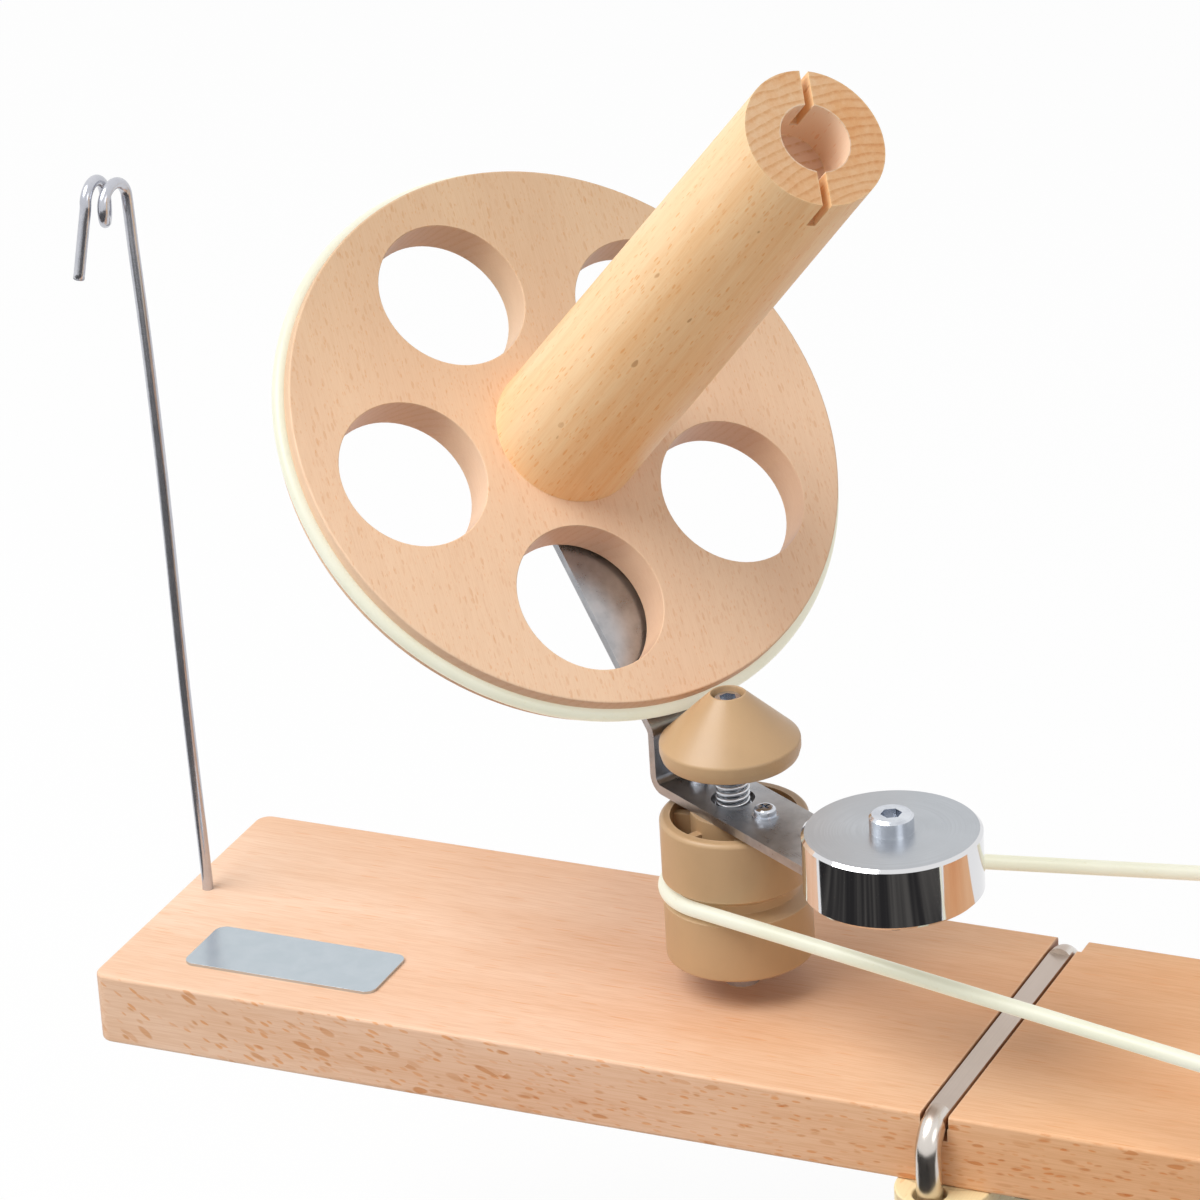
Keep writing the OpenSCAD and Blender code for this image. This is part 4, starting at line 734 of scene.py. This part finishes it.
# %% [markdown]
# The clamp rod is nickel plated and bright at its bends, but its top was ground flat and
# left satin, with marks running along it. The counterweight is mirror bright round its
# side, and its top still shows the rings that the lathe left. Each could have two materials
# on two sets of faces. The direction in which the surface faces tells the two apart as well,
# and lets one run softly into the other.

# %% Rod and weight finish
LEVEL_FROM, LEVEL_FULL, SATIN_SHADE = 0.72, 0.94, 0.92
RINGS_PER_METRE = 4200.0
WEIGHT_AXIS = (-0.14695, -0.03271, 0)


def two_way_finish(name, flat_colour, flat_rough, side_colour, side_rough, origin, pattern, relief):
    """A bright metal whose level faces are satin with a pattern of their own."""
    material, tree, shader = start_finish(name)
    place, way = own_coordinates(tree, origin)
    on_flat = ramp(tree, maths(tree, "ABSOLUTE", split(tree, way)[2]), LEVEL_FROM, LEVEL_FULL)
    marks = use_group(tree, metal_marks, {"Coordinates": place, "Cloud Size": 0.012})
    lines_here = pattern(tree, place)
    shaded = tuple(c * SATIN_SHADE for c in flat_colour)
    satin = blend_colours(tree, ramp(tree, marks["Clouds"], 0.3, 0.7), shaded, flat_colour)
    satin = blend_colours(tree, ramp(tree, lines_here, 0.4, 0.62), satin, shaded)
    plug(tree, shader.inputs["Base Color"], blend_colours(tree, on_flat, side_colour, satin))
    flat_shine = maths(tree, "ADD", flat_rough - 0.06, times(tree, lines_here, 0.12))
    side_shine = maths(tree, "ADD", side_rough, times(tree, marks["Clouds"], 0.05))
    shine = add(tree, "ShaderNodeMix", data_type="FLOAT")
    for index, value in ((0, on_flat), (2, side_shine), (3, flat_shine)):
        plug(tree, shine.inputs[index], value)
    plug(tree, shader.inputs["Roughness"], shine.outputs[0])
    shader.inputs["Metallic"].default_value = 1.0
    bump(tree, shader, times(tree, lines_here, on_flat), relief)
    print("finish", name)
    return material, shader


def drawn_lines(tree, place):
    """Fine marks along the rod, which lies along Y."""
    return noise(tree, stretched(tree, place, 0.0002, 0.03, 0.0002))


def turned_rings(tree, place):
    """Fine rings round the axis, as a lathe leaves them."""
    x, y, _ = split(tree, place)
    far = times(tree, distance(tree, x, y), RINGS_PER_METRE)
    round_it = times(tree, maths(tree, "ARCTAN2", y, x), 0.5)
    spread = add(tree, "ShaderNodeCombineXYZ", {0: far, 1: round_it})
    return noise(tree, spread.outputs[0])


rod_nickel, _ = two_way_finish(
    "rod_nickel", display(199, 184, 173), 0.36, display(216, 209, 202), 0.2, (0, 0, 0),
    drawn_lines, 0.000006)
weight_chrome, shader = two_way_finish(
    "weight_chrome", display(189, 193, 198), 0.30, display(222, 222, 224), 0.03, WEIGHT_AXIS,
    turned_rings, 0.000001)
shader.inputs["Anisotropic"].default_value = 0.6

# %% [markdown]
# ## Smooth cords, wires and threads
# The frame's guide wire, spring and belt are made of few flat faces, which is enough for
# its simulation. Here each is swept again as a fine round tube along the same route, and
# stands for its frame piece. A curve object with a bevel would give a tube too; building the
# mesh point by point keeps the number of its sides and steps in hand.

# %% Tube maker
def finish_mesh(name, mesh):
    """Turns a bmesh into a smooth object with outward normals."""
    bmesh.ops.recalc_face_normals(mesh, faces=mesh.faces)
    for face in mesh.faces:
        face.smooth = len(face.verts) == 4
    data = bpy.data.meshes.new(name)
    mesh.to_mesh(data)
    mesh.free()
    piece = bpy.data.objects.new(name, data)
    scene.collection.objects.link(piece)
    return piece


def skin(name, rings, closed=False):
    """Joins rings of points, all with the same count, into one closed tube."""
    mesh = bmesh.new()
    rings = [[mesh.verts.new(point) for point in ring] for ring in rings]
    sides = len(rings[0])
    following = rings[1:] + rings[:1] if closed else rings[1:]
    for ring, after in zip(rings, following):
        for k in range(sides):
            mesh.faces.new((ring[k], after[k], after[(k + 1) % sides], ring[(k + 1) % sides]))
    if not closed:
        mesh.faces.new(rings[0][::-1])
        mesh.faces.new(rings[-1])
    return finish_mesh(name, mesh)


def sweep_tube(name, route, radius, sides, closed=False):
    """Sweeps a circle along points; its frame is carried along, so the tube never twists."""
    points = [Vector(p) for p in route]
    count = len(points)
    rings = []
    side = None
    for i, point in enumerate(points):
        before = points[i - 1] if closed or i else point
        after = points[(i + 1) % count] if closed or i + 1 < count else point
        way = (after - before).normalized()
        side = way.orthogonal() if side is None else side
        side = (side - way * side.dot(way)).normalized()
        across = way.cross(side)
        rings.append([point + radius * (math.cos(a) * side + math.sin(a) * across)
                      for a in (2 * math.pi * k / sides for k in range(sides))])
    return skin(name, rings, closed)


def settle(piece, body, material, slot, *stands_for):
    """Gives a new piece its finish and body, and hides the frame pieces it stands for; slot is not
    used.
    """
    piece.data.materials.append(material)
    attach(piece, body)
    if stands_for:
        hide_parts(*stands_for)
    print("made", piece.name, "faces", len(piece.data.polygons))


print("made helpers:", ", ".join(helper.__name__ for helper in (
    finish_mesh, skin, sweep_tube, settle)))

# %% [markdown]
# The belt is one closed loop that isn't crossed: two straight runs, and the arcs that lie in
# the grooves of the pulley and of the wheel. It could be drawn by hand, but two circles set
# it completely. At the middle of the cord their radii are 18.5 mm and 80 mm. The wheel is
# out of the photograph: its distance is chosen, and for that distance its radius and its
# place, 6.5 mm in front of the pulley's axis, follow from the lean of the two runs. The cord
# is 4 mm thick here, as in the frame; in the photograph it measures nearer 3 mm.

# %% Drive belt
ROTOR_XY = Vector((-0.20525, 0.0019))
WHEEL_XY = Vector((0.08075, -0.0046))
BELT_UP, CORD_R = 0.0509, 0.002
PULLEY_BELT_R, WHEEL_BELT_R = 0.0185, 0.080
PULLEY_STEPS, WHEEL_STEPS = 48, 120
between = WHEEL_XY - ROTOR_XY
lean = math.asin((WHEEL_BELT_R - PULLEY_BELT_R) / between.length)
aim = math.atan2(between.y, between.x)


def arc_points(middle, radius, start, end, steps):
    """Points of an arc at the belt's height."""
    return [(middle.x + radius * math.cos(a), middle.y + radius * math.sin(a), BELT_UP)
            for a in (aim + start + (end - start) * k / steps for k in range(steps + 1))]


belt_route = arc_points(
    ROTOR_XY, PULLEY_BELT_R, math.pi / 2 + lean, 3 * math.pi / 2 - lean, PULLEY_STEPS)
belt_route += arc_points(
    WHEEL_XY, WHEEL_BELT_R, -math.pi / 2 - lean, math.pi / 2 + lean, WHEEL_STEPS)
belt = sweep_tube("belt_cord", belt_route, CORD_R, 24, closed=True)
settle(belt, "root", elastic_cord, "cream_cord", "drive_belt")

# %% [markdown]
# The spring pushes the cone up. A compression spring is wound evenly, and three quarters of
# a turn lie flat at each end so that it stands straight. A Screw modifier would climb evenly
# from end to end, so the points are worked out one by one, with no rise in the flat parts.

# %% Cone spring
SPRING_LOW, SPRING_HIGH = 0.0736, 0.0868
SPRING_WIRE_R, SPRING_RING_R = 0.0006, 0.0039
SPRING_TURNS, FLAT_TURN, SPRING_STEPS = 8.5, 0.75, 40
lowest, highest = SPRING_LOW + SPRING_WIRE_R, SPRING_HIGH - SPRING_WIRE_R
spring_route = []
for k in range(int(SPRING_TURNS * SPRING_STEPS) + 1):
    turns = k / SPRING_STEPS
    risen = min(max((turns - FLAT_TURN) / (SPRING_TURNS - 2 * FLAT_TURN), 0), 1)
    spring_route.append((ROTOR_XY.x + SPRING_RING_R * math.cos(2 * math.pi * turns),
                         ROTOR_XY.y + SPRING_RING_R * math.sin(2 * math.pi * turns),
                         lowest + (highest - lowest) * risen))
spring = sweep_tube("spring_coil", spring_route, SPRING_WIRE_R, 16)
settle(spring, "root", spring_steel, "spring_steel", "cone_spring")

# %% [markdown]
# The yarn guide is one steel wire: a slightly bowed shaft from the board, an open curl of
# one and a half turns with a way in from the side, and a free end that hangs down. The shaft
# follows a few listed points, and the curl a formula, because a circle drawn by hand
# never looks round.

# %% Route of the yarn guide
GUIDE_FOOT = Vector((-0.36355, 0.0044, 0.0225))
EYE_UP, EYE_R, GUIDE_WIRE_R = 0.1994, 0.0052, 0.0015
EYE_TURN = math.radians(204.2)
CURL_DEGREES, CURL_STEPS, TAIL_STEPS = 540, 36, 3
eye_along = Vector((math.cos(EYE_TURN), math.sin(EYE_TURN), 0))
eye_across = Vector((math.sin(EYE_TURN), -math.cos(EYE_TURN), 0))
FIRST_STEP, PINCH, LAST_STEP = 0.0053, 0.0002, 0.0042
SHAFT_TOP_X, EYE_RISE, TAIL, TAIL_LEAN = -0.0049, 0.001, 0.0195, 0.0035
BOW = ((0, -0.075), (0, 0.003), (0, 0.015), (-0.007, 0.3), (-0.0105, 0.6), (-0.016, 0.8),
       (-0.022, 0.93))


def ease(t):
    """Smooth start and end between 0 and 1."""
    return t * t * (3 - 2 * t)


def eye_point(degrees):
    """A point of the curl, from where the shaft reaches it."""
    if degrees < 180:
        shift = FIRST_STEP * ease(degrees / 180)
    elif degrees < 360:
        shift = FIRST_STEP + PINCH * (degrees - 180) / 180
    else:
        shift = FIRST_STEP + PINCH + LAST_STEP * ease((degrees - 360) / 180)
    a = math.radians(degrees)
    return (GUIDE_FOOT + Vector((SHAFT_TOP_X, 0, EYE_UP)) + eye_across * EYE_R * (math.cos(a) - 1)
            + eye_along * shift + Vector((0, 0, EYE_R * math.sin(a) + EYE_RISE * degrees / 360)))


guide_corners = [GUIDE_FOOT + EYE_UP * Vector((x, 0, z)) for x, z in BOW]
guide_corners += [eye_point(CURL_DEGREES * k / CURL_STEPS) for k in range(CURL_STEPS + 1)]
hang = eye_along * TAIL_LEAN - Vector((0, 0, TAIL))
guide_corners += [eye_point(CURL_DEGREES) + hang * k / TAIL_STEPS for k in range(1, TAIL_STEPS + 1)]
print("corners of the guide:", len(guide_corners))

# %% [markdown]
# The wire bends smoothly through all those points. A plain spline overshoots where far and
# near points meet, as they do where the shaft reaches the curl. Weighing each stretch by the
# root of its length keeps the curve close to them.

# %% Yarn guide
def smooth_route(corners, steps):
    """A curve through all the points, with no loops where they lie close together."""
    points = [corners[0] * 2 - corners[1], *corners, corners[-1] * 2 - corners[-2]]
    out = []
    for a, b, c, d in zip(points, points[1:], points[2:], points[3:]):
        first, middle, last = ((q - p).length ** 0.5 for p, q in ((a, b), (b, c), (c, d)))
        leave = (b - a) / first - (c - a) / (first + middle) + (c - b) / middle
        reach = (c - b) / middle - (d - b) / (middle + last) + (d - c) / last
        for t in (k / steps for k in range(steps)):
            out.append(b * (2 * t ** 3 - 3 * t ** 2 + 1)
                       + leave * middle * (t ** 3 - 2 * t ** 2 + t)
                       + c * (3 * t ** 2 - 2 * t ** 3) + reach * middle * (t ** 3 - t ** 2))
    return out + [points[-2]]


guide = sweep_tube("guide_curl", smooth_route(guide_corners, 4), GUIDE_WIRE_R, 24)
settle(guide, "guide", guide_chrome, "guide_wire", "yarn_guide")

# %% [markdown]
# The clamp screw and the ends of the rod's legs carry a rolled thread. A thread is a stack
# of rings whose radius rises and falls once for each pitch; shifting that wave a little
# from point to point round the ring makes the ridge climb as a helix. Cutting a groove with
# a Boolean would be slower and can leave slivers. These threads are out of the photograph:
# their sizes are chosen, not measured.

# %% Threads
THREAD_SIDES, THREAD_STEPS = 28, 6


def thread(name, x, y, low, high, core, crest, pitch):
    """A closed threaded pin along Z."""
    rings = []
    for k in range(int((high - low) / pitch * THREAD_STEPS) + 1):
        z = low + k * pitch / THREAD_STEPS
        ring = []
        for j in range(THREAD_SIDES):
            wave = abs(2 * ((k / THREAD_STEPS - j / THREAD_SIDES) % 1) - 1)
            radius = core + (crest - core) * wave
            a = 2 * math.pi * j / THREAD_SIDES
            ring.append(Vector((x + radius * math.cos(a), y + radius * math.sin(a), z)))
        rings.append(ring)
    return skin(name, rings)


CLAMP_SCREW_X, LEG_FRONT_Y, LEG_BACK_Y = -0.08275, -0.0538, 0.0484
SCREW_LOW, SCREW_HIGH, SCREW_PITCH = -0.110, -0.046, 0.0015
SCREW_CORE_R, SCREW_CREST_R = 0.0034, 0.004
LEG_LOW, LEG_HIGH, LEG_PITCH = -0.0902, -0.044, 0.0012
LEG_CORE_R, LEG_CREST_R = 0.0032, 0.0037
screw = thread("clamp_screw_thread", CLAMP_SCREW_X, 0, SCREW_LOW, SCREW_HIGH, SCREW_CORE_R,
               SCREW_CREST_R, SCREW_PITCH)
settle(screw, "clamp_screw", bright_zinc, "zinc_steel", "clamp_screw")
for side, y in (("front", LEG_FRONT_Y), ("back", LEG_BACK_Y)):
    leg = thread(f"leg_thread_{side}", ROD_X, y, LEG_LOW, LEG_HIGH, LEG_CORE_R, LEG_CREST_R,
                 LEG_PITCH)
    settle(leg, "root", rod_nickel, "rod_steel")

# %% [markdown]
# ## Dress the frame's own pieces
# A frame piece keeps its shape. It gets its finish in its material slot, and, where its
# edges are sharp, a Weld and a small Bevel, because no real edge is perfectly sharp and
# the thin bright line along it is what makes it look solid.

# %% Dress frame pieces
WELD_REACH, BEVEL_SEGMENTS, SHARP_EDGE = 1e-6, 2, math.radians(50)


def dress(material, slot, *names, edge_mm=0.0):
    """Puts a finish on frame pieces and, if asked, rounds their sharp edges."""
    for name in names:
        piece = winder[name]
        piece.data.materials.clear()
        piece.data.materials.append(material)
        if edge_mm:
            weld = piece.modifiers.new("weld", "WELD")
            weld.merge_threshold = WELD_REACH
            edge = piece.modifiers.new("soft edge", "BEVEL")
            edge.width = edge_mm / 1000
            edge.segments = BEVEL_SEGMENTS
            edge.limit_method = "ANGLE"
            edge.angle_limit = SHARP_EDGE
            piece.modifiers.new("even shading", "WEIGHTED_NORMAL")
    print("dressed", ", ".join(names), "with", material.name)


dress(board_beech, "board_wood", "base_board")
dress(disc_beech, "disc_wood", "winding_disc", edge_mm=0.4)
dress(wheel_beech, "disc_wood", "drive_wheel", "wheel_hub")
dress(mandrel_beech, "mandrel_wood", "winding_mandrel", edge_mm=0.3)
dress(grip_beech, "mandrel_wood", "handle_grip")
dress(block_beech, "block_wood", "clamp_block", edge_mm=0.6)
dress(beam_beech, "block_wood", "clamp_beam", edge_mm=0.8)
dress(tan_moulding, "tan_plastic", "rotor_pulley", "friction_cone", edge_mm=0.25)
dress(elastic_cord, "cream_cord", "disc_tyre")
dress(black_rubber, "black_rubber", "table_pad", "clamp_foot")
dress(black_moulding, "black_plastic", "clamp_knob", edge_mm=0.8)
dress(galvanised, "bracket_steel", "swing_bracket", edge_mm=0.3)
dress(rod_nickel, "rod_steel", "clamp_rod")
dress(weight_chrome, "weight_chrome", "counterweight")
dress(plate_steel, "plate_steel", "name_plate", edge_mm=0.35)
dress(bright_zinc, "zinc_steel", "axle_bolt", "axle_nut", "bracket_screws", "weight_bolt",
      "weight_nut", "spindle_bolt", "spindle_washer", "spindle_nut", "spring_seat", "clamp_nuts",
      "block_screws", "mandrel_screws", "wheel_axle", "wheel_cap_nut", "handle_bolt")
dress(ground_steel, "bearing_steel", "rotor_bearings", "disc_bearings", "wheel_bearings",
      "pulley_foot", "wheel_foot")
dress(insert_brass, "insert_brass", "beam_insert", "handle_insert")

# %% [markdown]
# ## Studio
# The photograph has an almost pure white ground and soft, even light from high on the left.
# A wide floor lies under the clamp. Light that bounces off it is kept low, because the
# board's front side is clearly darker than its top; to the camera and in mirrors the floor
# looks nearly white, with the winder's soft shadow left in it.

# %% Floor and world
def seen_directly(tree):
    """1 for rays that look at a surface straight, in a mirror or through glass."""
    path = add(tree, "ShaderNodeLightPath")
    either = maths(tree, "MAXIMUM", path.outputs["Is Camera Ray"], path.outputs["Is Glossy Ray"])
    return maths(tree, "MAXIMUM", either, path.outputs["Is Transmission Ray"])


FLOOR_DROP, FLOOR_HALF = 0.0005, 12.0
BOUNCE_TONE, PAPER_TONE, WHITE_SHARE = 0.52, 0.9, 0.92
paper = bpy.data.materials.new("studio_paper")
paper.use_nodes = True
tree = paper.node_tree
matte = tree.nodes["Principled BSDF"]
seen = seen_directly(tree)
plug(tree, matte.inputs["Base Color"], blend_colours(
    tree, seen, (BOUNCE_TONE,) * 3, (PAPER_TONE,) * 3))
plug(tree, matte.inputs["Roughness"], 0.9)
plug(tree, matte.inputs["Specular IOR Level"], 0.0)
white = add(tree, "ShaderNodeEmission", {"Color": (1.0, 1.0, 1.0), "Strength": 1.0})
mixed = add(tree, "ShaderNodeMixShader", {
    0: times(tree, seen, WHITE_SHARE), 1: matte.outputs[0], 2: white.outputs[0]})
plug(tree, tree.nodes["Material Output"].inputs["Surface"], mixed.outputs[0])

floor_mesh = bmesh.new()
bmesh.ops.create_grid(floor_mesh, x_segments=8, y_segments=8, size=FLOOR_HALF)
floor = finish_mesh("studio_floor", floor_mesh)
floor.location = (0, 0, cad_low.z - FLOOR_DROP)
floor.data.materials.append(paper)

world = bpy.data.worlds.new("studio_world")
scene.world = world
world.use_nodes = True
tree = world.node_tree
around = tree.nodes["Background"]
SKY_STRENGTH = 0.47
plug(tree, around.inputs["Color"], (1.0, 1.0, 1.0))
plug(tree, around.inputs["Strength"], add(tree, "ShaderNodeMapRange", {
    "Value": seen_directly(tree), "To Min": SKY_STRENGTH, "To Max": 1.0}).outputs[0])
print("floor at", round(floor.location.z, 4))

# %% [markdown]
# Polished metal in an all-white room looks flat: photographers put a dark card in front so
# that a mirror has something to show. This one lies low before the winder and is seen only
# in reflections; folds of grey across it break up the dark band on the counterweight.

# %% Dark card
CARD_LEFT, CARD_RIGHT, CARD_NEAR, CARD_FAR, CARD_UP = -0.9, 0.7, -1.0, -0.085, 0.004
FOLD_SIZE, FOLD_DARK, FOLD_PALE = (0.07, 0.9, 1.0), (0.026, 0.025, 0.026), (0.095, 0.09, 0.085)
card_mesh = bmesh.new()
card_mesh.faces.new([card_mesh.verts.new((x, y, 0)) for x, y in (
    (CARD_LEFT, CARD_NEAR), (CARD_RIGHT, CARD_NEAR), (CARD_RIGHT, CARD_FAR),
    (CARD_LEFT, CARD_FAR))])
card = finish_mesh("dark_card", card_mesh)
card.location = (0, 0, floor.location.z + CARD_UP)
card_paint, tree, shader = start_finish("card_black")
place, _ = own_coordinates(tree)
folds = noise(tree, stretched(tree, place, *FOLD_SIZE), 4.0, 0.6)
plug(tree, shader.inputs["Base Color"], (0, 0, 0))
plug(tree, shader.inputs["Emission Color"], blend_colours(
    tree, ramp(tree, folds, 0.42, 0.66), FOLD_DARK, FOLD_PALE))
plug(tree, shader.inputs["Emission Strength"], 1.0)
plug(tree, shader.inputs["Roughness"], 1.0)
plug(tree, shader.inputs["Specular IOR Level"], 0.0)
card.data.materials.append(card_paint)
card.visible_camera = card.visible_diffuse = False
card.visible_shadow = card.visible_transmission = False
print("card from", CARD_LEFT, "to", CARD_RIGHT, "m, seen only in mirrors")

# %% [markdown]
# Two large soft lamps: the main one high on the left in front, a weak one on the right. A
# small lamp would throw hard shadows, and the photograph's are soft.

# %% Lamps
def soft_lamp(name, place, target, size, watts):
    """A round area lamp that looks at a target."""
    data = bpy.data.lights.new(name, "AREA")
    data.shape, data.size, data.energy = "DISK", size, watts
    lamp = bpy.data.objects.new(name, data)
    lamp.matrix_world = Matrix.Translation(Vector(place)) @ (
        Vector(target) - Vector(place)).to_track_quat("-Z", "Y").to_matrix().to_4x4()
    scene.collection.objects.link(lamp)
    print(name, watts, "W")


KEY_PLACE, KEY_AIM, KEY_SIZE, KEY_WATTS = (-1.3, -1.1, 2.4), (-0.15, 0, 0.05), 2.2, 66
FILL_PLACE, FILL_AIM, FILL_SIZE, FILL_WATTS = (1.8, -1.0, 1.3), (-0.1, 0, 0.05), 1.2, 5
soft_lamp("key_lamp", KEY_PLACE, KEY_AIM, KEY_SIZE, KEY_WATTS)
soft_lamp("fill_lamp", FILL_PLACE, FILL_AIM, FILL_SIZE, FILL_WATTS)

# %% [markdown]
# ## Finish
# The colours are shown as they are, without a film look.

# %% Finish
scene.view_settings.view_transform = "Standard"
